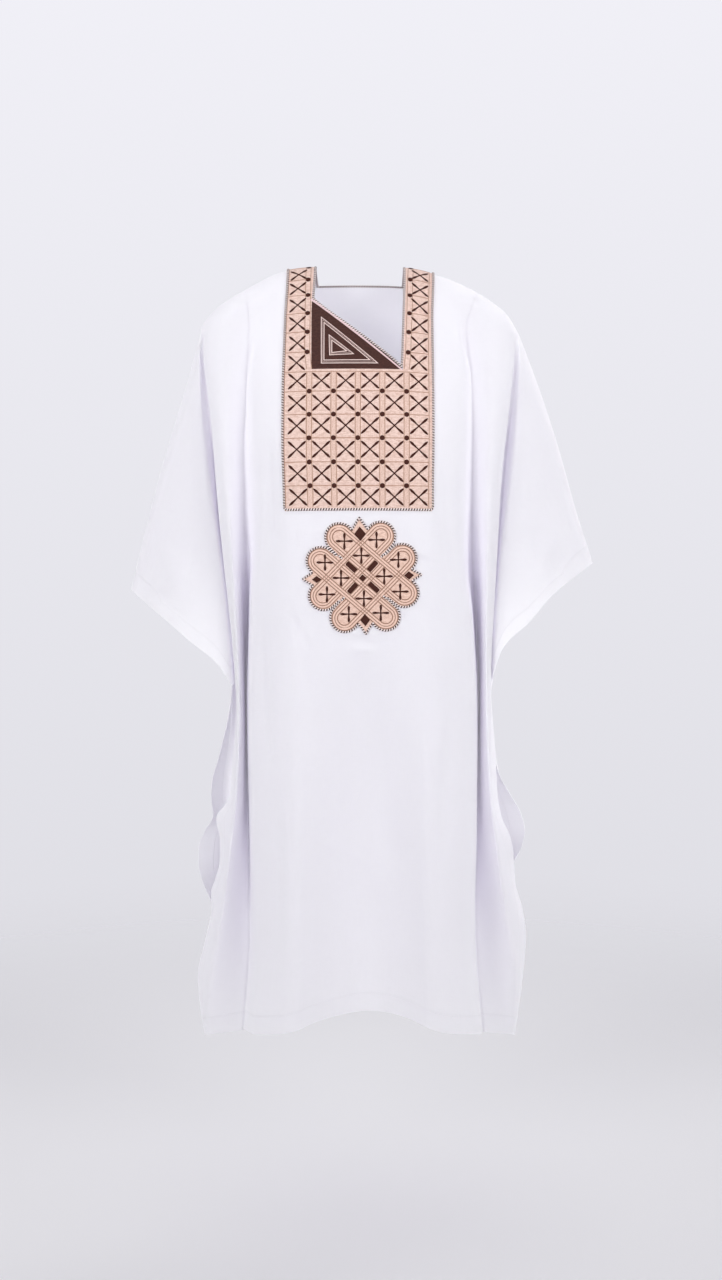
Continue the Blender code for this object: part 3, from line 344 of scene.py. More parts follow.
SLEEVE_EDGE = both(
    ((0, 244, 35), (138, 248, 43), (241, 238, 42), (325, 230, 31), (397, 224, 30), (454, 217, 32),
     (550, 206, 35), (620, 200, 38), (690, 199, 42), (790, 206, 50), (853, 212, 42),
     (891, 235, 31), (929, 229, 31), (961, 230, 29), (996, 239, 19), (1020, 246, 8),
     (1042, 246, 0), (1104, 258, 0), (1160, 270, 0), (1209, 267, 0), (1262, 259, 0)),
    ((0, 238, 35), (110, 243, 45), (210, 236, 44), (305, 227, 34), (389, 220, 34), (493, 212, 37),
     (600, 206, 38), (690, 209, 42), (790, 216, 50), (853, 221, 41), (890, 229, 35),
     (919, 242, 29), (950, 249, 15), (972, 251, 0), (1006, 254, 0), (1048, 266, 0), (1096, 272, 0),
     (1176, 266, 0), (1260, 255, 0)))
WING_FOLD = both(
    ((105, 254, 35), (137, 255, 48), (185, 254, 56), (241, 251, 58), (326, 243, 58),
     (397, 233, 58), (454, 225, 58), (550, 214, 60), (672, 205, 61)),
    ((105, 247, 35), (150, 250, 50), (210, 248, 57), (305, 241, 58), (389, 231, 58),
     (434, 225, 58), (493, 219, 59), (560, 214, 60), (650, 211, 61)))
# The sleeve's lower edge, from the arm fold out to a hand's breadth from the tip
SLEEVE_HEM = both(
    ((672, 205, 61), (641, 219, 65), (627, 232, 65), (614, 248, 65), (599, 272, 60),
     (585, 289, 51), (564, 315, 36), (545, 341, 20)),
    ((650, 211, 61), (611, 217, 65), (598, 229, 65), (584, 247, 65), (574, 264, 60),
     (554, 280, 52), (514, 316, 32), (500, 341, 18)))
# The shoulder ridge, from the neck out over the shoulder and down to the sleeve's tip
RIDGE = both(
    ((5, 68, 0), (11, 119, 0), (41, 183, 0), (63, 220, 0), (90, 249, 0), (144, 262, 0),
     (229, 290, 0), (328, 322, 0), (409, 344, 0), (519, 372, 0)),
    ((5, 68, 0), (18, 119, 0), (35, 164, 0), (55, 199, 0), (77, 230, 0), (109, 249, 0),
     (144, 265, 0), (229, 296, 0), (304, 321, 0), (385, 343, 0), (445, 363, 0), (476, 374, 0)))

BACK_MIDDLE = named(
    (0, 0, 22), (33, 0, 44), (70, 0, 70), (135, 0, 97), (200, 0, 110), (300, 0, 113), (450, 0, 106),
    (650, 0, 104), (850, 0, 112), (1050, 0, 124), (1230, 0, 134))
BACK_NECK = named(
    (0, 68, 22), (33, 68, 43), (70, 69, 69), (135, 70, 96), (200, 70, 109), (300, 70, 112),
    (450, 70, 106), (650, 69, 107), (850, 68, 119), (1050, 66, 136), (1230, 65, 149))
BACK_FLUTE = named(
    (0, 118, 22), (33, 119, 40), (70, 119, 66), (135, 120, 94), (200, 121, 107), (300, 122, 108),
    (450, 122, 104), (650, 120, 112), (850, 118, 130), (1050, 115, 150), (1230, 112, 164))
BACK_SIDE = named(
    (0, 150, 22), (70, 154, 54), (135, 160, 84), (300, 168, 91), (450, 173, 88), (650, 178, 93),
    (850, 180, 103), (1050, 178, 116), (1230, 182, 128))
BACK_GULLY = named(
    (0, 172, 25), (70, 176, 48), (135, 184, 72), (300, 196, 66), (450, 199, 54), (650, 199, 50),
    (850, 202, 60), (1050, 205, 78), (1230, 211, 92))
BACK_FOLD = named(
    (0, 200, 30), (70, 208, 58), (135, 216, 76), (300, 222, 82), (450, 220, 76), (650, 214, 71),
    (850, 222, 74), (1050, 233, 70), (1230, 240, 62))
BACK_EDGE = both(
    ((0, 244, 35), (135, 250, 44), (300, 244, 48), (450, 232, 47), (685, 213, 40), (800, 235, 41),
     (840, 247, 41), (868, 249, 40), (900, 246, 40), (924, 259, 37), (953, 270, 31),
     (977, 270, 23), (1010, 260, 11), (1042, 246, 0), (1104, 258, 0), (1160, 270, 0),
     (1209, 267, 0), (1262, 259, 0)),
    ((0, 238, 35), (135, 245, 44), (300, 240, 48), (450, 230, 47), (685, 214, 40), (790, 219, 41),
     (828, 228, 41), (863, 247, 40), (897, 266, 37), (924, 272, 31), (950, 265, 17), (972, 251, 0),
     (1006, 254, 0), (1048, 266, 0), (1096, 272, 0), (1176, 266, 0), (1260, 255, 0)))
BACK_WING_FOLD = both(
    ((105, 254, 35), (185, 260, 52), (283, 260, 56), (397, 252, 56), (550, 239, 54),
     (645, 230, 48)),
    ((105, 247, 35), (185, 256, 52), (283, 257, 56), (397, 249, 56), (550, 238, 54),
     (618, 230, 48)))
BACK_SLEEVE_HEM = both(
    ((645, 230, 48), (614, 249, 53), (599, 272, 49), (585, 289, 43), (564, 315, 31),
     (545, 341, 18)),
    ((618, 230, 48), (584, 247, 53), (574, 264, 49), (554, 280, 43), (514, 316, 29),
     (500, 341, 17)))

# Folds from the middle outwards, numbered 0 to 14; the last six cross the sleeve.
# ridge: place along the shoulder ridge; aside: shift from its line, so that a valley has
# a bottom; roll: how far below the ridge the fold stands out in full; round_high,
# round_low: how far from the crease its bend starts, at the shoulder and lower down;
# hem_front, hem_back: how much lower than the middle it ends
Fold = namedtuple("Fold", "ridge aside roll round_high round_low hem_front hem_back")
FOLDS = named(
    (0, 0, 30, 99, 99, 0, 0),        # middle
    (68, 0, 30, 99, 99, 3, 0),       # neck edge
    (119, 0, 30, 99, 99, 16, 4),     # edge of the chest field
    (150, 0, 32, 30, 20, 34, 16),    # side of the body
    (184, -4, 35, 16, 4, 49, 30),    # gully between body and arm, body side
    (192, 4, 36, 16, 4, 51, 32),     # gully, arm side
    (216, 0, 42, 20, 10, 62, 44),    # fold over the front of the arm
    (248, 0, 48, 12, 8, 69, 50),     # its outer lip
    (278, 0, 50, 0, 0, 74, 55),      # groove behind it, and the sleeve's edge
    (286, 5, 50, 3, 3, 0, 0),        # groove, sleeve side
    (298, 0, 50, 12, 10, 0, 0),      # inner fold of the sleeve
    kind=Fold)
NECK_ON_RIDGE = {LEFT: 79, RIGHT: 75}      # where the neck's edge crosses the ridge
TIP_ROLL = 12              # the sleeve narrows to this bend at its tip
TIP_DEPTH = 12
BACK_LIP_RISE = 5          # the arm fold's outer side, proud of a straight line at the back


def curve(places, values):
    """Return a smooth function through the points that never swings past them."""
    places = np.asarray(places, float)
    values = np.asarray(values, float)
    steps = np.diff(places)
    slopes = np.diff(values) / steps
    before, after = slopes[:-1], slopes[1:]
    same_way = before * after > 0
    total = np.where(same_way, before + after, 1.0)
    inner = np.where(same_way, 2.0 * before * after / total, 0.0)
    tangents = np.concatenate((slopes[:1], inner, slopes[-1:]))

    def value(place):
        place = min(max(place, places[0]), places[-1])
        i = min(int(np.searchsorted(places, place, side="right")) - 1, len(steps) - 1)
        gone = (place - places[i]) / steps[i]
        left = 1 - gone
        return (values[i] * (1 + 2 * gone) * left ** 2
                + values[i + 1] * gone ** 2 * (3 - 2 * gone)
                + steps[i] * gone * left * (tangents[i] * left - tangents[i + 1] * gone))

    return value


def line(rows):
    """Return the distance out and the depth of a fold line, each as a function of drop."""
    drops = [row.drop * MM for row in rows]
    out = curve(drops, [row.out * MM for row in rows])
    depth = curve(drops, [row.depth * MM for row in rows])
    return out, depth


def lengths_along(points, axis=0):
    """Give how far each point is from the start of its line, or of its row in a net."""
    steps = np.linalg.norm(np.diff(points, axis=axis), axis=-1)
    start = np.zeros_like(steps.take([0], axis=axis))
    return np.concatenate((start, np.cumsum(steps, axis=axis)), axis=axis)


def path(rows):
    """Return a function of the length along rows, giving (out, drop, depth), and its end."""
    points = np.array([(row.out, row.drop, row.depth) for row in rows]) * MM
    lengths = lengths_along(points)
    axes = [curve(lengths, points[:, axis]) for axis in range(3)]

    def at(length):
        return np.array([axis(length) for axis in axes])

    return at, lengths[-1]


def pairs(first, second):
    """Pair two lists of numbers up as places."""
    return np.stack((first, second), axis=1)


def turns(count):
    """Give angles spaced evenly round a circle."""
    return np.arange(count) * 2 * math.pi / count


def ease(value):
    """Rise smoothly from 0 to 1."""
    value = np.clip(value, 0.0, 1.0)
    return value * value * (3 - 2 * value)


def roll(share):
    """Rise from 0 to 1 as the side of a round bend does."""
    return math.sqrt(1.0 - (1.0 - min(share, 1.0)) ** 2)


def mix(start, end, share):
    return start * (1.0 - share) + end * share


def unit(vectors):
    """Bring vectors to unit length, and leave empty ones empty."""
    lengths = np.linalg.norm(vectors, axis=-1, keepdims=True)
    return vectors / np.where(lengths > 0, lengths, 1.0)


def level_at(run):
    """Turn a distance along the cloth from the ridge into a level below it."""
    run = abs(run)
    if run < RIDGE_ROLL:
        return run * run / (2.0 * RIDGE_ROLL)
    return run - RIDGE_ROLL / 2.0


def run_at(level):
    """Turn a level below the ridge into a distance along the cloth from the ridge."""
    if level < RIDGE_ROLL / 2.0:
        return math.sqrt(2.0 * RIDGE_ROLL * level)
    return level + RIDGE_ROLL / 2.0


class Half:
    """One side of the front or of the back, from the middle out to the sleeve's tip."""

    def __init__(self, side, facing, lines, wing, hem, hem_drops):
        self.side = side
        self.facing = facing
        self.lines = [line(rows) for rows in lines]
        self.wing_out, self.wing_depth = line(wing)
        self.hem, self.hem_length = path(hem)
        self.hem_drops = [drop * MM for drop in hem_drops]
        self.ridge, self.ridge_length = path(RIDGE[side])

    def ridge_at(self, place):
        """Give the ridge's (out, drop) at a distance from the middle of the neck."""
        neck = FOLDS[1].ridge * MM
        out, drop, _ = self.ridge(max(place - neck, 0.0))
        return (out - max(neck - place, 0.0), drop)

    def fold_point(self, number, level):
        """Give (out, drop, depth) where a fold line crosses a level."""
        fold = FOLDS[number]
        place = NECK_ON_RIDGE[self.side] if number == 1 else fold.ridge
        ridge_out, ridge_drop = self.ridge_at(place * MM)
        fade = max(1.0 - level / RIDGE_FADE, 0.0) ** 2
        drop = level + ridge_drop * fade + self.hem_drops[number] * (level / LENGTH) ** 2
        out, depth = self.lines[number]
        spread = ease(level / SPREAD_LEVEL)
        full_depth = max(depth(drop), SIDE_SEAM_STEP)
        return np.array((mix(ridge_out, out(drop) + fold.aside * MM, spread), drop,
                         full_depth * roll(level / (fold.roll * MM))))

    def wing_start(self, share):
        """Give the sleeve's innermost fold, a share of the way down from ridge to edge."""
        fold = FOLDS[WING]
        ridge_out, ridge_drop = self.ridge_at(fold.ridge * MM)
        drop = mix(ridge_drop, self.hem(0.0)[1], share)
        spread = ease(share * SLEEVE_LEVEL / SPREAD_LEVEL)
        return np.array((mix(ridge_out, self.wing_out(drop), spread), drop, self.wing_depth(drop)))

    def wing_point(self, number, level):
        """Give a sleeve point from the four edges of the sleeve's face."""
        share = level / SLEEVE_LEVEL
        across = (number - WING) / (TIP - WING)
        neck = FOLDS[1].ridge * MM
        start, end = FOLDS[WING].ridge * MM, self.ridge_length + neck
        top_start = np.array((*self.ridge_at(start), 0.0))
        top_end = np.array((*self.ridge_at(end), 0.0))
        top = np.array((*self.ridge_at(mix(start, end, across)), 0.0))
        bottom_start, bottom_end = self.hem(0.0), self.hem(self.hem_length)
        bottom = self.hem(self.hem_length * across)
        inner = self.wing_start(share)
        outer = mix(top_end, bottom_end, share)
        face = (mix(top, bottom, share) + mix(inner, outer, across)
                - mix(mix(top_start, bottom_start, share), mix(top_end, bottom_end, share), across))
        flat = mix(self.wing_depth(inner[1]), TIP_DEPTH * MM, across)
        edge = mix(bottom_start[2], TIP_DEPTH * MM, across)
        length = np.linalg.norm(bottom - top)
        bend = mix(FOLDS[WING].roll, TIP_ROLL, across) * MM
        face[2] = (flat + (bottom[2] - edge) * share ** 2) * roll(length * share / bend)
        return face

    def points(self, level):
        """Give the points of the folds at a level, from the middle outwards, as x, y, z."""
        found = [self.fold_point(number, level) for number in range(EDGE + 1)]
        if level <= SLEEVE_LEVEL + NEAR:
            found += [self.fold_point(number, level) for number in range(EDGE + 1, WING)]
            found += [self.wing_point(number, level) for number in range(WING, TIP + 1)]
        return [np.array((self.side * out, self.facing * depth, -drop))
                for out, drop, depth in found]


def half(side, facing):
    """Gather the tables of one side of the front or of the back."""
    if facing == FRONT:
        drops = [fold.hem_front for fold in FOLDS]
        lines = (MIDDLE, NECK[side], FLUTE[side], SIDE[side], GULLY[side], GULLY[side],
                 ARM_FOLD[side], ARM_LIP[side], SLEEVE_EDGE[side], SLEEVE_EDGE[side])
        return Half(side, facing, lines, WING_FOLD[side], SLEEVE_HEM[side], drops)
    drops = [fold.hem_back for fold in FOLDS]
    fold_out, fold_depth = line(BACK_FOLD)
    edge_out, edge_depth = line(BACK_EDGE[side])
    lip = [Row(row.drop, (fold_out(row.drop * MM) + edge_out(row.drop * MM)) / 2 / MM,
               (fold_depth(row.drop * MM) + edge_depth(row.drop * MM)) / 2 / MM + BACK_LIP_RISE)
           for row in BACK_FOLD]
    lines = (BACK_MIDDLE, BACK_NECK, BACK_FLUTE, BACK_SIDE, BACK_GULLY, BACK_GULLY, BACK_FOLD,
             lip, BACK_EDGE[side], BACK_EDGE[side])
    return Half(side, facing, lines, BACK_WING_FOLD[side], BACK_SLEEVE_HEM[side], drops)


HALVES = {(side, facing): half(side, facing) for side in (LEFT, RIGHT) for facing in (FRONT, BACK)}
Section = namedtuple("Section", "corners starts ends back ahead")


def bend_at(number, level):
    """Give how far from a fold's crease its bend starts, on either side."""
    if number > WING:
        return 1.0                         # the sleeve's face has no creases
    fold = FOLDS[number]
    share = ease((level - BEND_HIGH) / (BEND_LOW - BEND_HIGH))
    return mix(fold.round_high, fold.round_low, share) * MM


def section(run):
    """Give the folds' corners at a run from the ridge, and where their bends start and end."""
    facing = FRONT if run >= 0 else BACK
    level = level_at(run)
    left = HALVES[LEFT, facing].points(level)
    right = HALVES[RIGHT, facing].points(level)
    middle = (left[1] + right[1]) / 2
    middle[1:] = right[0][1:]
    corners = np.array(left[:0:-1] + [middle] + right[1:])
    reach = len(corners) // 2
    bends = np.array([bend_at(abs(i - reach), level) for i in range(len(corners))])
    bends[[0, -1]] = 0.0
    spans = np.diff(corners, axis=0)
    lengths = np.linalg.norm(spans, axis=1)
    directions = spans / lengths[:, None]
    ahead = np.append(np.minimum(bends[:-1], lengths / 2), 0.0)
    back = np.append(0.0, np.minimum(bends[1:], lengths / 2))
    starts, ends = corners.copy(), corners.copy()
    starts[1:] -= directions * back[1:, None]
    ends[:-1] += directions * ahead[:-1, None]
    return Section(corners, starts, ends, back, ahead)


def row_points(run, columns):
    """Give points of the cloth's middle surface at a run, for all places across.

    Places across count folds from the middle, negative to the left.
    """
    made = section(run)
    last = len(made.corners) - 1
    reach = last // 2
    across = np.clip(columns, -reach, reach)
    i = np.rint(across).astype(int) + reach
    offset = across + reach - i
    onward = offset > 0
    j = np.clip(np.where(onward, i + 1, i - 1), 0, last)
    corner = made.corners[i]
    half_way = (corner + made.corners[j]) / 2
    half_length = np.linalg.norm(made.corners[j] - corner, axis=1) / 2
    bend = np.where(onward, made.ahead[i], made.back[i])
    turn = np.where(half_length > 0, 1.0 - bend / np.where(half_length > 0, half_length, 1.0), 1.0)
    share = 1.0 - abs(offset) * 2              # 0 half-way to the next fold, 1 on the crease
    near = np.where(onward[:, None], made.ends[i], made.starts[i])
    straight = mix(half_way, near, (share / np.where(turn > 0, turn, 1.0))[:, None])
    gone = np.where(turn < 1.0, 0.5 * (share - turn) / np.where(turn < 1.0, 1.0 - turn, 1.0), 0.5)
    gone = np.where(onward, 1.0 - gone, gone)[:, None]
    round_part = (made.starts[i] * (1 - gone) ** 2 + corner * 2 * gone * (1 - gone)
                  + made.ends[i] * gone ** 2)
    return np.where((share < turn)[:, None], straight, round_part)


def read_between(values, row, column):
    """Read values between the rows and columns of a net."""
    i = np.clip(row.astype(int), 0, values.shape[0] - 2)
    j = np.clip(column.astype(int), 0, values.shape[1] - 2)
    s, t = row - i, column - j
    if values.ndim == 3:
        s, t = s[:, None], t[:, None]
    upper = mix(values[i, j], values[i, j + 1], t)
    lower = mix(values[i + 1, j], values[i + 1, j + 1], t)
    return mix(upper, lower, s)


def rows_through(stretches):
    """List the runs of the rows through stretches of (level, rows to the next level)."""
    runs = [0.0]
    for start, end in zip(stretches, stretches[1:]):
        runs += list(np.linspace(run_at(start.level), run_at(end.level), start.rows + 1)[1:])
    return np.array(runs)


# A cell's corners as steps in row and column, and the corners that each shape of cell keeps
CORNERS = ((0, 0), (1, 0), (1, 1), (0, 1))
NO_CELL, WHOLE, LOWER_LEFT, NO_FOOT_LEFT, NO_FOOT_RIGHT = range(5)
SHAPES = {WHOLE: (0, 1, 2, 3), LOWER_LEFT: (0, 1, 2), NO_FOOT_LEFT: (0, 2, 3),
          NO_FOOT_RIGHT: (0, 1, 3)}


def at_corners(values):
    """Give a net's values at each of the four corners of its cells."""
    rows, columns = values.shape[0] - 1, values.shape[1] - 1
    return [values[i:i + rows, j:j + columns] for i, j in CORNERS]


class Net:
    """The robe's middle surface as rows and columns of points, from the back hem to the front."""

    def __init__(self, crease_depth):
        back, front = rows_through(BACK_STRETCHES), rows_through(FRONT_STRETCHES)
        self.runs = np.concatenate((-back[::-1], front[1:]))
        out = np.concatenate([number + np.arange(1, count + 1) / count
                              for number, count in enumerate(COLUMNS_A_FOLD)])
        self.columns = np.concatenate((-out[::-1], (0.0,), out))
        self.points = np.array([row_points(run, self.columns) for run in self.runs])
        self.levels = np.array([level_at(run) for run in self.runs])
        wide = np.maximum(abs(self.columns[:-1]), abs(self.columns[1:])) > EDGE + NEAR
        low = np.maximum(self.levels[:-1], self.levels[1:]) > SLEEVE_LEVEL + NEAR
        self.cloth = ~(low[:, None] & wide[None, :])
        self.find_normals()
        pressed = np.zeros(self.points.shape[:2])
        for crease in CREASES:
            pressed += self.press(crease) * crease_depth
        self.points += self.normals * pressed[..., None]
        self.find_normals()
        self.measure()

    def find_normals(self):
        """Work out the outward normals from the cells of cloth round each point."""
        a, b, c, d = at_corners(self.points)
        facing = unit(np.cross(c - a, d - b)) * self.cloth[..., None]
        total = np.zeros_like(self.points)
        for corner in at_corners(total):
            corner += facing
        self.normals = unit(total)

    def at(self, across, run):
        """Give the points and normals at places between the rows and columns."""
        row = np.interp(run, self.runs, np.arange(len(self.runs)))
        column = np.interp(across, self.columns, np.arange(len(self.columns)))
        return (read_between(self.points, row, column),
                unit(read_between(self.normals, row, column)))

    def row(self, run):
        """Give the row nearest to a run."""
        return int(np.argmin(abs(self.runs - run)))

    def column(self, across):
        """Give the column nearest to a place across."""
        return int(np.argmin(abs(self.columns - across)))

    def press(self, crease):
        """Give how far a crease lifts each point; a trough lifts by less than nothing."""
        share = np.linspace(0, 1, CREASE_STEPS + 1)
        bow = np.sin(share * math.pi) * crease.bow
        across = mix(crease.across, crease.to_across, share) + bow
        runs = mix(crease.run, crease.to_run, share) * MM
        spine = np.array([row_points(run, np.array([place]))[0]
                          for run, place in zip(runs, across)])
        near = (abs(self.columns - across.mean()) < np.ptp(across) / 2 + CREASE_FOLDS)[None, :]
        near = near & (np.sign(self.runs) * np.sign(runs.mean()) >= 0)[:, None]
        points = self.points[near]
        nearest = np.full(len(points), np.inf)
        gone = np.zeros(len(points))
        for i in range(CREASE_STEPS):
            span = spine[i + 1] - spine[i]
            along = np.clip(((points - spine[i]) @ span) / (span @ span), 0, 1)
            distance = np.linalg.norm(points - spine[i] - along[:, None] * span, axis=1)
            closer = distance < nearest
            nearest[closer] = distance[closer]
            gone[closer] = (i + along[closer]) / CREASE_STEPS
        width = crease.width * MM * mix(CREASE_TAPER, 1.0, np.sin(gone * math.pi))
        height = np.exp(-(nearest / width) ** 2) * np.sin(gone * math.pi) ** CREASE_FADE
        pressed = np.zeros(near.shape)
        pressed[near] = height * crease.depth * MM
        return pressed

    def measure(self):
        """Work out, for each point, its place on the cut cloth and its distance from an edge."""
        middle = self.column(0.0)
        aside, along = lengths_along(self.points, axis=1), lengths_along(self.points)
        self.aside = aside - aside[:, [middle]]
        low, high = self.row(-run_at(SLEEVE_LEVEL)), self.row(run_at(SLEEVE_LEVEL))
        wide = abs(self.columns) > EDGE - NEAR
        in_sleeve = self.levels <= SLEEVE_LEVEL + NEAR
        sleeve = in_sleeve[:, None] & wide[None, :]
        below = np.where(self.runs[:, None] < 0, along - np.where(sleeve, along[low], along[0]),
                         np.where(sleeve, along[high], along[-1]) - along)
        edges = aside[:, [self.column(-EDGE), self.column(EDGE)]]
        tips = np.minimum(aside - aside[:, [0]], aside[:, [-1]] - aside)
        sides = abs(aside[:, :, None] - edges[:, None, :]).min(axis=2)
        beside = np.where(in_sleeve[:, None], np.where(wide[None, :], tips, np.inf), sides)
        self.from_edge = np.minimum(below, beside)
        self.along_edge = np.where(below < beside, self.aside, self.runs[:, None])


@lru_cache(maxsize=1)
def robe(crease_depth):
    """Work out the robe's surface once."""
    return Net(crease_depth)


def between(places, low, high):
    """Say which steps between neighbouring places lie inside a stretch."""
    return (places[:-1] >= low - NEAR) & (places[1:] <= high + NEAR)


def block(net, rows, columns):
    """Take all the cells in a stretch of runs and a stretch of places across."""
    taken = between(net.runs, *rows)[:, None] & between(net.columns, *columns)[None, :]
    return np.where(taken & net.cloth, WHOLE, NO_CELL)


def neck_cells(net):
    """Give masks of the front cells that are open neck, on the slant, and the dark corner."""
    top, bottom = run_at(NECK_LEVEL), run_at(NECK_BOTTOM)
    inside = between(net.runs, 0.0, bottom)[:, None] & between(net.columns, -1, 1)[None, :]
    row = np.arange(len(net.runs) - 1)[:, None] - net.row(top)
    column = np.arange(len(net.columns) - 1)[None, :] - net.column(-1)
    return inside & (column > row), inside & (column == row), inside & (column < row)


def add_mesh(name, vertices, faces, material):
    """Make a smooth mesh piece of the scene."""
    mesh = bpy.data.meshes.new(name)
    mesh.from_pydata(np.asarray(vertices).tolist(), [], faces)
    mesh.shade_smooth()
    mesh.set_sharp_from_angle(angle=math.radians(SHARP_ANGLE))
    mesh.materials.append(material)
    piece = bpy.data.objects.new(name, mesh)
    bpy.context.scene.collection.objects.link(piece)
    return piece


def add_map(piece, name, values):
    """Store a pair of numbers for each vertex as a map that materials read."""
    layer = piece.data.uv_layers.new(name=name)
    corners = np.empty(len(piece.data.loops), dtype=int)
    piece.data.loops.foreach_get("vertex_index", corners)
    layer.data.foreach_set("uv", np.asarray(values, dtype=float)[corners].ravel())


def two_sided(faces, rim, count):
    """Close a sheet: its faces, the same turned over count points later, and its rim."""
    return (faces + [[key + count for key in face[::-1]] for face in faces]
            + [[end, start, start + count, end + count] for start, end in rim])


def shell(name, net, cells, wall, lift, material):
    """Build a closed sheet of cloth from cells of the net."""
    width = len(net.columns)
    faces = []
    for shape, picked in SHAPES.items():
        rows, columns = np.nonzero(cells == shape)
        keys = [(rows + CORNERS[k][0]) * width + columns + CORNERS[k][1] for k in picked]
        faces += np.stack(keys, axis=1).tolist()
    used = np.unique(np.concatenate(faces))
    place = {key: i for i, key in enumerate(used.tolist())}
    faces = [[place[key] for key in face] for face in faces]
    points = net.points.reshape(-1, 3)[used]
    normals = net.normals.reshape(-1, 3)[used]
    edges = {edge for face in faces for edge in zip(face, face[1:] + face[:1])}
    rim = [(start, end) for start, end in edges if (end, start) not in edges]
    inward = np.zeros_like(points)
    for start, end in edges:
        inward[start] += points[end] - points[start]
        inward[end] += points[start] - points[end]
    on_rim = sorted({vertex for edge in rim for vertex in edge})
    points = points.copy()
    points[on_rim] += unit(inward[on_rim]) * SEAM_GAP / 2
    count = len(used)
    vertices = np.concatenate((points + normals * (lift + wall / 2),
                               points + normals * (lift - wall / 2)))
    piece = add_mesh(name, vertices, two_sided(faces, rim, count), material)
    runs = np.repeat(net.runs, width)[used]
    cut = pairs(net.aside.ravel()[used], runs)
    hem = pairs(net.from_edge.ravel()[used], net.along_edge.ravel()[used])
    add_map(piece, "cut", np.concatenate((cut, cut)))
    add_map(piece, "hem", np.concatenate((hem, hem)))
    return piece


class Chart:
    """Finds the front's cloth from distances aside and down, both in metres."""

    def __init__(self, net, down):
        rows = slice(net.row(-run_at(STRAP_BACK)) - 2, net.row(run_at(CHART_LEVEL)) + 1)
        columns = slice(net.column(-CHART_FOLDS), net.column(CHART_FOLDS) + 1)
        self.points = net.points[rows, columns]
        self.normals = net.normals[rows, columns]
        self.down = down[rows, columns]
        self.down_rows = down[:, net.column(0.0)]
        self.runs = net.runs

    def down_at(self, run):
        """Give the place down at a run from the ridge."""
        return float(np.interp(run, self.runs, self.down_rows))

    def find(self, places):
        """Find the rows and columns, in between ones too, of places as (aside, down)."""
        aside, down = places[:, 0], places[:, 1]
        x = self.points[:, :, 0]
        last_row, last_column = x.shape[0] - 1, x.shape[1] - 1
        middle = last_column // 2
        row = np.interp(down, self.down[:, middle], np.arange(last_row + 1))
        column = np.interp(aside, x[last_row // 2], np.arange(last_column + 1))

        def at(row, column):
            return np.array([read_between(values, row, column) for values in (x, self.down)])

        for _ in range(FIND_TURNS):
            here = at(row, column)
            by_row = at(row + FIND_STEP, column) - here
            by_column = at(row, column + FIND_STEP) - here
            miss = places.T - here
            scale = by_row[0] * by_column[1] - by_row[1] * by_column[0]
            row = row + FIND_STEP * (miss[0] * by_column[1] - miss[1] * by_column[0]) / scale
            column = column + FIND_STEP * (miss[1] * by_row[0] - miss[0] * by_row[1]) / scale
            row, column = np.clip(row, 0, last_row), np.clip(column, 0, last_column)
        return row, column

    def lay(self, places, height):
        """Turn places as (aside, down) and heights above the cloth's middle into points."""
        places = np.asarray(places, dtype=float)
        row, column = self.find(places)
        normals = unit(read_between(self.normals, row, column))
        return read_between(self.points, row, column) + normals * np.reshape(height, (-1, 1))

    def lay_facing(self, places, height):
        """Give the points and the normals of places at one height."""
        points = self.lay(places, height)
        return points, unit(points - self.lay(places, height - 0.001))


@lru_cache(maxsize=1)
def charts(crease_depth):
    """Make two charts: down along the cloth from the ridge, and straight down."""
    net = robe(crease_depth)
    sides = net.points[:, [net.column(-1.5), net.column(1.5)]]
    along = lengths_along(sides).mean(axis=1)
    along -= along[net.row(0.0)]
    along = np.repeat(along[:, None], len(net.columns), axis=1)
    return Chart(net, along), Chart(net, -net.points[:, :, 2])


def spread(points, step, closed=False):
    """Place points evenly along a line through the points given."""
    points = np.asarray(points, dtype=float)
    if closed:
        points = np.concatenate((points, points[:1]))
    lengths = lengths_along(points)
    count = max(int(round(lengths[-1] / step)), 2)
    places = np.linspace(0, lengths[-1], count + 1)
    if closed:
        places = places[:-1]
    return np.stack([np.interp(places, lengths, points[:, axis])
                     for axis in range(points.shape[1])], axis=1)


# Sections of a line of stitching: share of its half width, share of its height
DOMED = ((-1.0, 0.0), (-0.78, 0.62), (-0.36, 0.93), (0.0, 1.0), (0.36, 0.93), (0.78, 0.62),
         (1.0, 0.0))
FLAT = ((-1.0, 0.0), (-0.93, 0.75), (-0.80, 1.0), (0.80, 1.0), (0.93, 0.75), (1.0, 0.0))

# Rings from the edge inwards: share of a dot's radius, or of a plate's edge; share of height
DOT_RINGS = ((1.0, 0.0), (0.92, 0.5), (0.72, 0.82), (0.38, 0.98))
PLATE_RINGS = ((0.0, 0.0), (0.25, 0.75), (1.0, 1.0))


def ring_faces(rings, around):
    """List the faces between rings of points, from the outer ring inwards."""
    return [[r * around + i, r * around + (i + 1) % around,
             (r + 1) * around + (i + 1) % around, (r + 1) * around + i]
            for r in range(rings - 1) for i in range(around)]


def tube_faces(keys, closed):
    """List a tube's faces, and its caps, from rows of its points' numbers."""
    ahead = np.roll(keys, -1, axis=0)
    faces = np.stack((keys, ahead, np.roll(ahead, -1, axis=1), np.roll(keys, -1, axis=1)), axis=2)
    if closed:
        return faces.reshape(-1, 4).tolist()
    return [*faces[:-1].reshape(-1, 4).tolist(), keys[0].tolist(), keys[-1][::-1].tolist()]


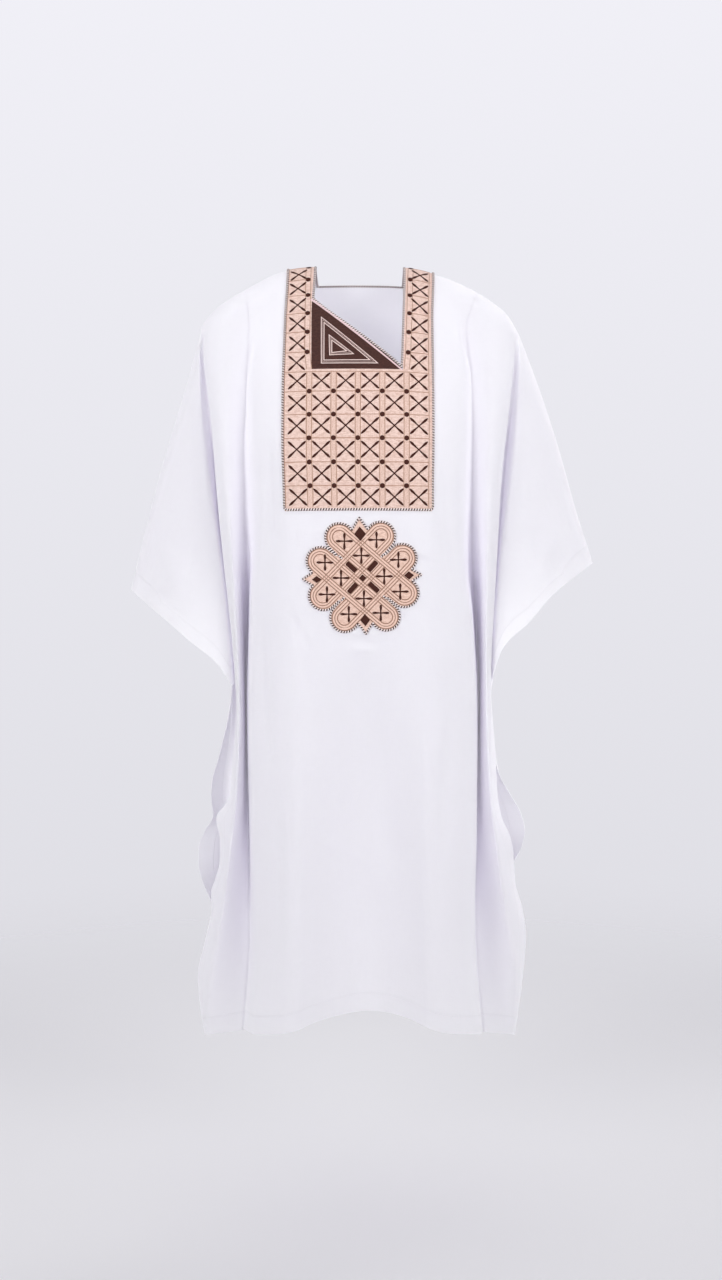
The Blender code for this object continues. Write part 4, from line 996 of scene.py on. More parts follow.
class Stitching:
    """Gathers raised stitching of one thread into a single piece."""

    def __init__(self, chart, base):
        self.chart = chart
        self.base = base
        self.vertices = []
        self.faces = []
        self.thread = []           # along the thread's line and across it, in metres
        self.count = 0

    def add(self, points, faces, thread):
        self.faces += [[key + self.count for key in face] for face in faces]
        self.vertices.append(points)
        self.thread.append(thread)
        self.count += len(points)

    def line(self, spine, width, height, section=DOMED, closed=False, base=None):
        """Lay a line of stitching along places as (aside, down)."""
        spine = np.asarray(spine, dtype=float)
        base = self.base if base is None else base
        after = np.roll(spine, -1, axis=0) - spine
        if not closed:
            after[-1] = after[-2]
        before = np.roll(after, 1, axis=0)
        if not closed:
            before[0] = after[0]
        after, before = unit(after), unit(before)
        sides = pairs(before[:, 1] + after[:, 1], -before[:, 0] - after[:, 0])
        sides /= (1.0 + np.sum(before * after, axis=1))[:, None]
        count = len(spine)
        half = np.broadcast_to(np.asarray(width) / 2, count)
        heights = np.broadcast_to(height, count)
        places = [spine + sides * (half * share)[:, None] for share, _ in section]
        levels = [base + heights * rise for _, rise in section]
        points = self.chart.lay(np.concatenate(places), np.concatenate(levels))
        gone = lengths_along(spine)
        thread = np.concatenate([pairs(gone, half * share) for share, _ in section])
        keys = np.arange(len(points)).reshape(-1, count).T
        self.add(points, tube_faces(keys, closed), thread)

    def dot(self, place, height):
        """Lay a round dot of satin stitch."""
        circle = pairs(np.cos(turns(DOT_AROUND)), -np.sin(turns(DOT_AROUND))) * DOT_RADIUS
        shares, rises = np.transpose(DOT_RINGS)
        places = np.concatenate([np.asarray(place) + circle * share for share in shares])
        points = self.chart.lay(places, np.repeat(self.base + height * rises, DOT_AROUND))
        keys = np.arange(len(places)).reshape(-1, DOT_AROUND)
        caps = [keys[-1].tolist(), keys[0][::-1].tolist()]
        self.add(points, ring_faces(*keys.shape) + caps, places - np.asarray(place))

    def plate(self, outline, height, base=None):
        """Fill an outline with satin stitch, rounded off towards its edge."""
        outline = np.asarray(outline, dtype=float)
        base = self.base if base is None else base
        middle = outline.mean(axis=0)
        after = np.roll(outline, -1, axis=0)
        if np.sum(outline[:, 0] * after[:, 1] - outline[:, 1] * after[:, 0]) > 0:
            outline = outline[::-1]            # anticlockwise, seen from outside
        count = len(outline)
        size = np.linalg.norm(outline - middle, axis=1).mean()
        insets, rises = np.transpose(PLATE_RINGS)
        places = [middle + (outline - middle) * share for share in 1.0 - insets * PLATE_EDGE / size]
        places = np.concatenate((*places, middle[None, :]))
        levels = np.append(np.repeat(base + height * rises, count), base + height)
        last = len(places) - 1 - count
        faces = ring_faces(len(PLATE_RINGS), count)
        faces += [[last + i, last + (i + 1) % count, last + count] for i in range(count)]
        faces.append(list(range(count))[::-1])
        self.add(self.chart.lay(places, levels), faces, places - middle)

    def make(self, name, material):
        vertices = np.concatenate(self.vertices)
        piece = add_mesh(name, vertices, self.faces, material)
        add_map(piece, "thread", np.concatenate(self.thread))
        return piece


def rope(name, points, normals, width, height, material, closed, pitch):
    """Twist two threads into a rope that lies along points on the cloth."""
    if closed:
        tangents = unit(np.roll(points, -1, axis=0) - np.roll(points, 1, axis=0))
    else:
        tangents = unit(np.gradient(points, axis=0))
    sides = unit(np.cross(tangents, normals))
    ups = np.cross(sides, tangents)
    gone = lengths_along(points)
    if closed:
        whole = gone[-1] + np.linalg.norm(points[0] - points[-1])
        pitch = whole / max(round(whole / pitch), 1)
    turn = 2 * math.pi * gone / pitch
    angles = turns(ROPE_SIDES)
    swell = 1.0 + ROPE_LOBE * np.cos(2 * (angles[None, :] - turn[:, None]))
    across = (np.cos(angles)[None, :] * swell * width / 2)[..., None]
    rise = (np.sin(angles)[None, :] * swell * height / 2)[..., None]
    vertices = points[:, None, :] + sides[:, None, :] * across + ups[:, None, :] * rise
    keys = np.arange(len(points) * ROPE_SIDES).reshape(-1, ROPE_SIDES)
    piece = add_mesh(name, vertices.reshape(-1, 3), tube_faces(keys, closed), material)

    # The thread's place along, in turns, and round the rope; the end caps keep (0, 0)
    layer = piece.data.uv_layers.new(name="thread")
    along = np.append(gone, whole) / pitch if closed else gone / pitch
    around = np.arange(ROPE_SIDES + 1) / ROPE_SIDES
    values = np.zeros((len(layer.data), 2))
    corners = values[:(len(along) - 1) * ROPE_SIDES * 4].reshape(-1, ROPE_SIDES, 4, 2)
    corners[..., 0] = np.stack((along[:-1], along[1:], along[1:], along[:-1]), axis=1)[:, None]
    corners[..., 1] = np.stack((around[:-1], around[:-1], around[1:], around[1:]), axis=1)
    layer.data.foreach_set("uv", values.ravel())
    return piece


class Nodes:
    """Adds nodes to a tree and joins them."""

    def __init__(self, tree):
        self.tree = tree

    def join(self, value, socket):
        """Feed a socket with another node's output, or with a fixed value."""
        if isinstance(value, bpy.types.NodeSocket):
            self.tree.links.new(value, socket)
        elif socket.type == "RGBA":
            socket.default_value = (*value, 1.0)[:4]
        else:
            socket.default_value = value

    def node(self, kind, *values, **named):
        """Add a node, and feed its sockets in their order or by their names."""
        node = self.tree.nodes.new("ShaderNode" + kind)
        named = {name.replace("_", " "): value for name, value in named.items()}
        for key, value in (*enumerate(values), *named.items()):
            self.join(value, node.inputs[key])
        return node

    def parts(self, vector):
        """Split a vector into its three numbers."""
        return tuple(self.node("SeparateXYZ", vector).outputs)

    def maths(self, operation, first, second=0.0, third=0.0):
        node = self.node("Math", first, second, third)
        node.operation = operation
        return node.outputs[0]


class Finish(Nodes):
    """A material in the making: its nodes and its one shader."""

    def __init__(self, name, roughness, sheen=0.0, sheen_roughness=0.5, through=0.0,
                 gloss=FABRIC_GLOSS):
        self.material = bpy.data.materials.new(name)
        self.material.use_nodes = True
        super().__init__(self.material.node_tree)
        self.shader = self.tree.nodes["Principled BSDF"]
        for socket, value in {
                "Roughness": roughness, "Specular IOR Level": gloss, "Sheen Weight": sheen,
                "Sheen Roughness": sheen_roughness, "Subsurface Weight": through,
                "Subsurface Radius": (1.0, 1.0, 1.0), "Subsurface Scale": THROUGH_REACH}.items():
            self.shader.inputs[socket].default_value = value

    def map_of(self, name):
        """Give the two numbers of one of the piece's maps."""
        node = self.node("UVMap")
        node.uv_map = name
        return self.parts(node.outputs[0])[:2]

    def noise(self, x, y, scale, detail=3.0, roughness=0.5):
        """Give an uneven value around a half, over two numbers."""
        place = self.node("CombineXYZ", x, y, 0.0).outputs[0]
        return self.node("TexNoise", Vector=place, Scale=scale, Detail=detail,
                         Roughness=roughness).outputs["Fac"]

    def wave(self, value, pitch):
        """Rise and fall between -1 and 1 once a pitch."""
        return self.maths("SINE", self.maths("MULTIPLY", value, 2 * math.pi / pitch))

    def ramp(self, value, start, end, low=0.0, high=1.0):
        """Rise smoothly from low to high between two values."""
        node = self.node("MapRange", value, start, end, low, high)
        node.interpolation_type = "SMOOTHSTEP"
        return node.outputs[0]

    def between(self, value, low, high, soft):
        """Give 1 inside a stretch and 0 outside it, with soft ends."""
        inside = self.ramp(value, low - soft, low + soft)
        outside = self.ramp(value, high - soft, high + soft, 1.0, 0.0)
        return self.maths("MULTIPLY", inside, outside)

    def blend(self, share, first, second):
        """Blend two colours."""
        node = self.node("Mix", share)
        node.data_type = "RGBA"
        self.join(first, node.inputs[6])
        self.join(second, node.inputs[7])
        return node.outputs[2]

    def done(self, colour, height, relief):
        """Give the shader its colour and its relief, which is in metres at a height of 1."""
        self.join(colour, self.shader.inputs["Base Color"])
        bump = self.node("Bump", Distance=relief, Height=height)
        self.join(bump.outputs[0], self.shader.inputs["Normal"])
        return self.material


def cotton(settings):
    """White plain-woven cotton with fine slubs, a turned hem and its row of stitches; the hem's
    edge and the stitches are darkened with painted shade.
    """
    finish = Finish("white_cotton", 0.82, sheen=0.12, sheen_roughness=0.45, through=1.0)
    aside, run = finish.map_of("cut")
    edge, along = finish.map_of("hem")
    pitch = settings.weave
    weave = finish.maths("MULTIPLY", finish.wave(aside, pitch * 2), finish.wave(run, pitch * 2))
    across_slubs = finish.noise(finish.maths("MULTIPLY", aside, 0.06), run, 900.0)
    down_slubs = finish.noise(aside, finish.maths("MULTIPLY", run, 0.05), 900.0)
    slubs = finish.maths("ADD", across_slubs, down_slubs)
    rumple = finish.noise(aside, run, 22.0, 4.0, 0.55)
    hem = settings.hem
    turned = finish.ramp(edge, hem - 0.0006, hem + 0.0006, 1.0, 0.0)
    row = finish.between(edge, hem - 0.0026, hem - 0.0018, 0.0003)
    dash = finish.ramp(finish.wave(along, STITCH_PITCH), -0.6, -0.1)
    stitch = finish.maths("MULTIPLY", row, dash)
    pucker = finish.maths("MULTIPLY", finish.between(edge, hem - 0.006, hem + 0.004, 0.004),
                          finish.noise(along, edge, 110.0, 2.0))
    height = 0.0
    for part, rise in ((weave, 0.03), (slubs, 0.05), (rumple, 0.9), (turned, 0.35),
                       (stitch, -0.25), (pucker, 0.3)):
        height = finish.maths("MULTIPLY_ADD", part, rise, height)
    # Painted shade: a darker tone of the cotton, laid along the hem's edge and on its row of
    # stitches
    painted_hem_shade = tint(settings.colour, 0.93)
    threads = finish.ramp(slubs, 0.7, 1.3)
    colour = finish.blend(threads, tint(settings.colour, 0.985), settings.colour)
    line = finish.between(edge, hem - 0.0008, hem + 0.0012, 0.0006)
    colour = finish.blend(finish.maths("MULTIPLY", line, 0.5), colour, painted_hem_shade)
    colour = finish.blend(finish.maths("MULTIPLY", stitch, 0.6), colour, painted_hem_shade)
    return finish.done(colour, height, 0.001)


def tint(colour, shares):
    """Keep a share of a colour, or a share of each of its parts."""
    return tuple(np.multiply(colour, shares))


def satin_ground(name, colour, deep, pitch, length):
    """Satin stitch laid in short staggered rows, as a filled ground is."""
    finish = Finish(name, 0.6, sheen=0.08, sheen_roughness=0.4)
    aside, run = finish.map_of("cut")
    brick = finish.node(
        "TexBrick", Vector=finish.node("CombineXYZ", aside, run, 0.0).outputs[0],
        Color1=(0.35, 0.35, 0.35), Color2=(1.0, 1.0, 1.0), Mortar=(0.0, 0.0, 0.0), Scale=1.0,
        Mortar_Size=pitch * 0.14, Mortar_Smooth=0.4, Brick_Width=length, Row_Height=pitch)
    threads = finish.noise(finish.maths("MULTIPLY", aside, 0.12), run, 2600.0, 2.0)
    uneven = finish.noise(aside, run, 240.0, 3.0)
    tone = finish.maths("MULTIPLY_ADD", brick.outputs["Color"], 0.55,
                        finish.maths("MULTIPLY", threads, 0.4))
    tone = finish.maths("MULTIPLY_ADD", uneven, 0.9, tone)
    share = finish.ramp(tone, 0.60, 1.25)
    return finish.done(finish.blend(share, deep, colour), tone, 0.00035)


def thread(name, colour, deep, pitch, slant, sheen=0.12, gloss=FABRIC_GLOSS):
    """Satin stitch whose threads lie side by side across a line of stitching."""
    finish = Finish(name, 0.5, sheen=sheen, sheen_roughness=0.35, gloss=gloss)
    along, across = finish.map_of("thread")
    place = finish.maths("MULTIPLY_ADD", across, slant, along)
    ridges = finish.maths("MULTIPLY_ADD", finish.wave(place, pitch), 0.5, 0.5)
    uneven = finish.noise(along, across, 420.0, 2.0)
    tone = finish.maths("MULTIPLY_ADD", uneven, 0.9, finish.maths("MULTIPLY", ridges, 0.55))
    share = finish.ramp(tone, 0.3, 1.1)
    return finish.done(finish.blend(share, deep, colour), ridges, 0.00012)


def rope_threads(name, settings):
    """Two threads, one dark and one light, twisted round each other; the light one carries a
    painted highlight.
    """
    finish = Finish(name, 0.65)
    turn, angle = finish.map_of("thread")
    strand = finish.maths("FRACT", finish.maths("SUBTRACT", angle, turn))
    dark = finish.between(strand, 0.04, 0.54, 0.03)
    middle = finish.maths("PINGPONG", finish.maths("ADD", strand, 0.22), 0.25)
    plies = finish.wave(finish.maths("MULTIPLY_ADD", turn, 0.35, angle), 0.09)
    height = finish.maths("MULTIPLY_ADD", plies, 0.25, finish.maths("MULTIPLY", middle, 4.0))
    # Painted highlight: the light thread is mottled with a paler colour, in uneven patches
    light = finish.blend(finish.noise(turn, angle, 3.0), settings.light, settings.painted_glint)
    return finish.done(finish.blend(dark, light, settings.dark), height, 0.0003)


def dark_satin(name, colours):
    """Dark thread, with little gloss, of the crosses, dots and diamonds."""
    return thread(name, colours.dark, tint(colours.dark, 0.5), LINE_PITCH, slant=0.7, sheen=0.0,
                  gloss=DARK_GLOSS)


def sew(piece, slot, *nodes):
    """Make a piece ride with the robe, and stand for the solids that it replaces."""
    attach(piece, "root")
    if nodes:
        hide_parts(*nodes)
    return piece


def cross(stitching, place, wide, high, height, turned=False):
    """Lay two crossed strokes, thickest near their ends; turned makes an upright cross."""
    shares = np.concatenate((-np.array(CROSS_SHARES[:0:-1]), CROSS_SHARES))
    widths = np.concatenate((CROSS_WIDTHS[:0:-1], CROSS_WIDTHS))
    fine = np.linspace(-1, 1, CROSS_STEPS)
    width = np.interp(fine, shares, widths)
    if turned:
        ends = ((wide / 2, 0.0), (0.0, high / 2))
    else:
        ends = ((wide / 2, high / 2), (wide / 2, -high / 2))
    for end, over in zip(ends, (1.0, CROSS_OVER)):
        spine = np.asarray(place) + fine[:, None] * np.asarray(end)
        stitching.line(spine, width, height * over)


def straight(start, end, step=LINE_STEP):
    """List places along a straight line."""
    return spread((start, end), step)


def sides_of(corners, steps=0.004):
    """List places round a polygon, its corners among them, at one step or one for each side."""
    corners = np.asarray(corners, dtype=float)
    ends = zip(corners, np.roll(corners, -1, axis=0), np.broadcast_to(steps, len(corners)))
    return np.concatenate([straight(*side)[:-1] for side in ends])


def field_edges(net, chart_down):
    """Give the chest field's left and right edges as functions of the place down."""
    rows = slice(net.row(-run_at(STRAP_BACK)), net.row(run_at(BIB_BOTTOM)) + 1)
    down = chart_down[rows]
    left = net.points[rows, net.column(-2), 0]
    right = net.points[rows, net.column(2), 0]

    def at(place):
        return np.interp(place, down, left), np.interp(place, down, right)

    return at, down[0], down[-1]


def medallion_place(out, up):
    """Turn a place on the medallion into distance aside and straight down."""
    return (MEDALLION_X + out * math.cos(MEDALLION_TURN_LEVEL)
            - up * math.sin(MEDALLION_TURN_UPRIGHT),
            MEDALLION_DROP - out * math.sin(MEDALLION_TURN_LEVEL)
            - up * math.cos(MEDALLION_TURN_UPRIGHT))


def outline_reach(angle):
    """Give how far the medallion reaches at an angle, anticlockwise from its upper point."""
    out, up = abs(math.sin(angle)), abs(math.cos(angle))
    reach = CORE
    for petal in PETALS:
        ahead = petal.out * out + petal.up * up
        aside = petal.out * up - petal.up * out
        if abs(aside) < PETAL_ROUND:
            reach = max(reach, ahead + math.sqrt(PETAL_ROUND ** 2 - aside ** 2))
    quarter = round(angle / (math.pi / 2))
    lean = angle - quarter * math.pi / 2
    point = POINTS[quarter % len(POINTS)]
    rise = (point.reach - point.foot) / point.half
    tip = point.reach / (math.cos(lean) + rise * abs(math.sin(lean)))
    return max(reach, tip)


def stadium(first, second, radius, step=0.0016):
    """List places round a loop: two half circles joined by straight sides."""
    first, second = np.asarray(first), np.asarray(second)
    along = (second - first) / np.linalg.norm(second - first)
    aside = np.array((along[1], -along[0]))
    turn = np.linspace(0, math.pi, 25)[:, None]
    far = second + radius * (np.cos(turn) * aside + np.sin(turn) * along)
    near = first + radius * (-np.cos(turn) * aside - np.sin(turn) * along)
    return spread(np.concatenate((far, near)), step, closed=True)


def loop_lift(points, ends):
    """Lift a loop's outer side, which crosses over the others' inner sides."""
    along = unit(np.subtract(*ends))
    aside = np.array((along[1], -along[0]))
    middle = float(np.dot(ends[0], aside))
    beside = (points @ aside - middle) * np.sign(middle) / LOOP_ROUND
    return LOOP_OVER * np.clip(0.5 + 0.8 * beside, 0.0, 1.0)


def smooth_path(points, normals, reach):
    """Round off a closed path's corners by averaging each place with its neighbours."""
    steps = range(-reach, reach + 1)
    total = sum(np.roll(points, step, axis=0) for step in steps)
    return total / len(steps), unit(sum(np.roll(normals, step, axis=0) for step in steps))


def cloth_of(context):
    """Give the robe's net, and its charts along the cloth and straight down."""
    depth = context.scene.boubou_cloth.crease_depth
    return robe(depth), *charts(depth)


class ClothSettings(bpy.types.PropertyGroup):
    """Sizes and colour of the white cloth."""

    crease_depth: FloatProperty(
        name="Crease depth", description="How deep the creases are, against their table",
        default=1.0, min=0.0, max=2.0, subtype="FACTOR")
    hem: FloatProperty(
        name="Hem", description="Width of the turned hem", default=0.030, unit="LENGTH")
    weave: FloatProperty(
        name="Weave", description="Distance from one thread to the next", default=0.0006,
        unit="LENGTH")
    colour: FloatVectorProperty(
        name="Colour", description="Colour of the cotton", default=(0.932, 0.916, 0.962),
        subtype="COLOR")


class EmbroiderySettings(bpy.types.PropertyGroup):
    """Colours and relief of the embroidery."""

    ground: FloatVectorProperty(
        name="Ground", description="Peach satin ground", default=(0.850, 0.655, 0.580),
        subtype="COLOR")
    ground_deep: FloatVectorProperty(
        name="Ground, deep", description="The ground between its threads",
        default=(0.600, 0.405, 0.330), subtype="COLOR")
    band: FloatVectorProperty(
        name="Bands", description="Raised bands and lines", default=(0.490, 0.290, 0.205),
        subtype="COLOR")
    dark: FloatVectorProperty(
        name="Dark", description="Dark brown motifs", default=(0.075, 0.024, 0.017),
        subtype="COLOR")
    cream: FloatVectorProperty(
        name="Cream", description="Cream lines and the slanted band",
        default=(0.900, 0.745, 0.710), subtype="COLOR")
    relief: FloatProperty(
        name="Relief", description="Height of the raised motifs", default=0.0009, unit="LENGTH")


class EdgingSettings(bpy.types.PropertyGroup):
    """The twisted rope along the edges."""

    width: FloatProperty(
        name="Width", description="Width of the rope", default=0.0035, unit="LENGTH")
    height: FloatProperty(
        name="Height", description="Height of the rope", default=0.0026, unit="LENGTH")
    pitch: FloatProperty(
        name="Pitch", description="Distance from one dark thread to the next", default=0.0042,
        unit="LENGTH")
    dark: FloatVectorProperty(
        name="Dark thread", description="Colour of the dark thread",
        default=(0.040, 0.013, 0.012), subtype="COLOR")
    light: FloatVectorProperty(
        name="Light thread", description="Colour of the light thread",
        default=(0.900, 0.740, 0.700), subtype="COLOR")
    # Painted highlight colour, spread in uneven patches over the light thread
    painted_glint: FloatVectorProperty(
        name="Pale thread", description="Where the light thread catches the light",
        default=(0.950, 0.900, 0.880), subtype="COLOR")


class StageSettings(bpy.types.PropertyGroup):
    """The floor, the light and the camera."""

    floor: FloatProperty(
        name="Floor", description="Height of the floor", default=-1.563, unit="LENGTH")
    paper: FloatVectorProperty(
        name="Background", description="Colour of the pale room", default=(0.775, 0.770, 0.820),
        subtype="COLOR")
    floor_colour: FloatVectorProperty(
        name="Floor colour", description="Colour of the floor", default=(0.800, 0.796, 0.793),
        subtype="COLOR")
    key: FloatProperty(
        name="Key light", description="Strength of the main lamp", default=4.2, unit="POWER")
    fill: FloatProperty(
        name="Fill light", description="Strength of the weaker lamp", default=3.95, unit="POWER")


class BOUBOU_OT_cloth(bpy.types.Operator):
    """Sew the front, the back and the two sleeves."""

    bl_idname = "boubou.cloth"
    bl_label = "Front, back and sleeves"

    def execute(self, context):
        settings = context.scene.boubou_cloth
        net = robe(settings.crease_depth)
        material = cotton(settings)
        front, back = run_at(LENGTH), -run_at(HEM_LEVEL_BACK)
        opening, slant, _ = neck_cells(net)
        cells = block(net, (0.0, front), (-SEAM, SEAM))
        cells[opening] = NO_CELL
        cells[slant] = LOWER_LEFT
        piece = sew(shell("robe_front", net, cells, CLOTH, 0.0, material), "white_cotton",
                    "front_panel")
        cells = block(net, (back, 0.0), (-SEAM, SEAM))
        cells[block(net, (-run_at(NECK_BACK), 0.0), (-1, 1)) == WHOLE] = NO_CELL
        piece = sew(shell("robe_back", net, cells, CLOTH, 0.0, material), "white_cotton",
                    "back_panel")
        for name, places, area in (("left", (-TIP, -SEAM), 0.360), ("right", (SEAM, TIP), 0.347)):
            cells = block(net, (back, front), places)
            piece = sew(shell("robe_sleeve_" + name, net, cells, CLOTH, 0.0, material),
                        "white_cotton", "sleeve_" + name)
        return {"FINISHED"}


class BOUBOU_OT_chest_field(bpy.types.Operator):
    """Embroider the chest field and its straps."""

    bl_idname = "boubou.chest_field"
    bl_label = "Chest field"

    def execute(self, context):
        colours = context.scene.boubou_embroidery
        net, chart, _ = cloth_of(context)
        opening, slant, corner = neck_cells(net)
        cells = block(net, (-run_at(STRAP_BACK), run_at(BIB_BOTTOM)), (-2, 2))
        cells[opening | slant | corner] = NO_CELL
        cells[block(net, (-run_at(STRAP_BACK), 0.0), (-1, 1)) == WHOLE] = NO_CELL
        foot = net.row(run_at(BIB_BOTTOM)) - 1
        cells[foot, net.column(-2)] = NO_FOOT_LEFT
        cells[foot, net.column(2) - 1] = NO_FOOT_RIGHT
        ground = satin_ground("peach_ground", colours.ground, colours.ground_deep,
                              pitch=0.0017, length=0.0060)
        piece = sew(shell("chest_ground", net, cells, BIB_CLOTH, BIB_LIFT, ground),
                    "peach_embroidery", "chest_bib")

        edges, back_end, bottom = field_edges(net, chart.down_rows)
        bands, lines, darks = (Stitching(chart, FIELD_BASE) for _ in range(3))

        def aside(share, down):
            return mix(*edges(down), share)

        down = np.arange(FIELD_TOP + 0.001, bottom - FIELD_BOTTOM_MARGIN, LINE_STEP)
        for share in DOT_COLUMNS:
            middle = aside(share, down)
            bands.line(pairs(middle, down), *COLUMN_BAND, FLAT)
            for offset in (-BAND_HALF, BAND_HALF):
                lines.line(pairs(middle + offset, down), *COLUMN_LINE)
        for place in (FIELD_TOP, *DOT_ROWS):
            left, right = edges(place)
            lines.line(straight((left + BORDER[LEFT], place), (right - BORDER[RIGHT], place)),
                       *ROW_LINE)
        for edge, (side, column) in enumerate(((LEFT, DOT_COLUMNS[0]), (RIGHT, DOT_COLUMNS[-1]))):
            down = np.arange(back_end + STRAP_END, bottom - FIELD_BOTTOM_MARGIN, LINE_STEP)
            lines.line(pairs(edges(down)[edge] - side * BORDER[side], down), *BORDER_LINE)
            dots = STRAP_DOTS[side]
            down = np.arange(back_end + STRAP_END, FIELD_TOP, LINE_STEP)
            middle = np.interp(down, [dot.down for dot in dots] + [FIELD_TOP],
                               [dot.aside for dot in dots] + [aside(column, FIELD_TOP)])
            for offset in (-BAND_HALF, BAND_HALF):
                lines.line(pairs(middle + offset, down), *STRAP_LINE)
            for dot in dots:
                outer = edges(dot.down)[edge] - side * BORDER[side]
                lines.line(straight((dot.aside, dot.down), (outer, dot.down)), *BORDER_LINE)
                darks.dot((dot.aside, dot.down), colours.relief)
            straps = STRAP_CROSSES[side]
            for strap in (*straps, BACK_CROSS._replace(aside=straps[0].aside)):
                cross(darks, (strap.aside, strap.down), STRAP_CROSS_WIDE, strap.high,
                      colours.relief)
        for row in CROSS_ROWS:
            for share in CROSS_COLUMNS:
                cross(darks, (aside(share, row), row), CROSS_WIDE, CROSS_HIGH, colours.relief)
        for row in DOT_ROWS:
            for share in DOT_COLUMNS:
                darks.dot((aside(share, row), row), colours.relief * DOT_RISE)
        band = thread("band_thread", colours.ground, colours.band, BAND_PITCH, slant=0.6)
        outline = thread("line_thread", colours.band, tint(colours.band, 0.7), LINE_PITCH,
                         slant=0.4)
        sew(bands.make("chest_bands", band), "peach_embroidery")
        sew(lines.make("chest_lines", outline), "peach_embroidery")
        sew(darks.make("chest_crosses_and_dots", dark_satin("dark_thread", colours)),
            "brown_satin")
        return {"FINISHED"}


class BOUBOU_OT_neck_corner(bpy.types.Operator):
    """Embroider the dark corner below the slanted neck edge."""

    bl_idname = "boubou.neck_corner"
    bl_label = "Dark neck corner"

    def execute(self, context):
        colours = context.scene.boubou_embroidery
        net, chart, _ = cloth_of(context)
        _, slant, corner = neck_cells(net)
        cells = np.full(slant.shape, NO_CELL)
        cells[corner] = WHOLE
        cells[slant] = LOWER_LEFT
        ground = satin_ground("dark_ground", colours.dark, tint(colours.dark, 0.5),
                              pitch=0.0010, length=0.0050)
        piece = sew(shell("neck_corner_ground", net, cells, BIB_CLOTH, BIB_LIFT, ground),
                    "brown_satin", "neck_triangle")
        bands, lines, fills = (Stitching(chart, FIELD_BASE) for _ in range(3))
        for corners in CORNER_LINES:
            lines.line(sides_of(corners), *CORNER_LINE, closed=True)
        for outer, inner in (CORNER_LINES[0:2], CORNER_LINES[2:4]):
            middle = (np.array(outer) + np.array(inner)) / 2
            fills.line(sides_of(middle), *CORNER_FILL, FLAT, closed=True)
            lines.line(sides_of(middle), *CORNER_FINE, closed=True)
        ends = np.array([(net.points[net.row(run), net.column(across), 0], chart.down_at(run))
                         for across, run in ((-1, run_at(NECK_LEVEL)), (1, run_at(NECK_BOTTOM)))])
        along = unit(ends[1] - ends[0])
        inward = np.array((-along[1], along[0]))
        widths = (np.array(CORNER_DARK) - ends) @ inward
        spine = straight(*ends)
        share = np.linspace(0, 1, len(spine))
        width = mix(*widths, share) - SLANT_FREE
        spine = spine + inward * (width / 2 + SLANT_SHIFT)[:, None]
        bands.line(spine, width - SLANT_GAP, SLANT_RISE, FLAT)
        cream = thread("cream_thread", colours.cream, colours.ground, CORNER_PITCH, slant=0.5)
        mid = mix(np.array(colours.dark), np.array(colours.cream), 0.06)
        sew(lines.make("neck_corner_lines", cream), "peach_embroidery")
        fill = thread("mid_thread", mid, tint(mid, 0.75), CORNER_PITCH, slant=0.5, sheen=0.0,
                      gloss=DARK_GLOSS)
        sew(fills.make("neck_corner_fills", fill), "brown_satin")
        rose = tint(colours.cream, (0.88, 0.82, 0.87))
        satin = thread("rose_thread", rose, tint(rose, (0.85, 0.80, 0.80)), CORNER_PITCH,
                       slant=0.5)
        sew(bands.make("neck_slanted_band", satin), "peach_embroidery")
        return {"FINISHED"}


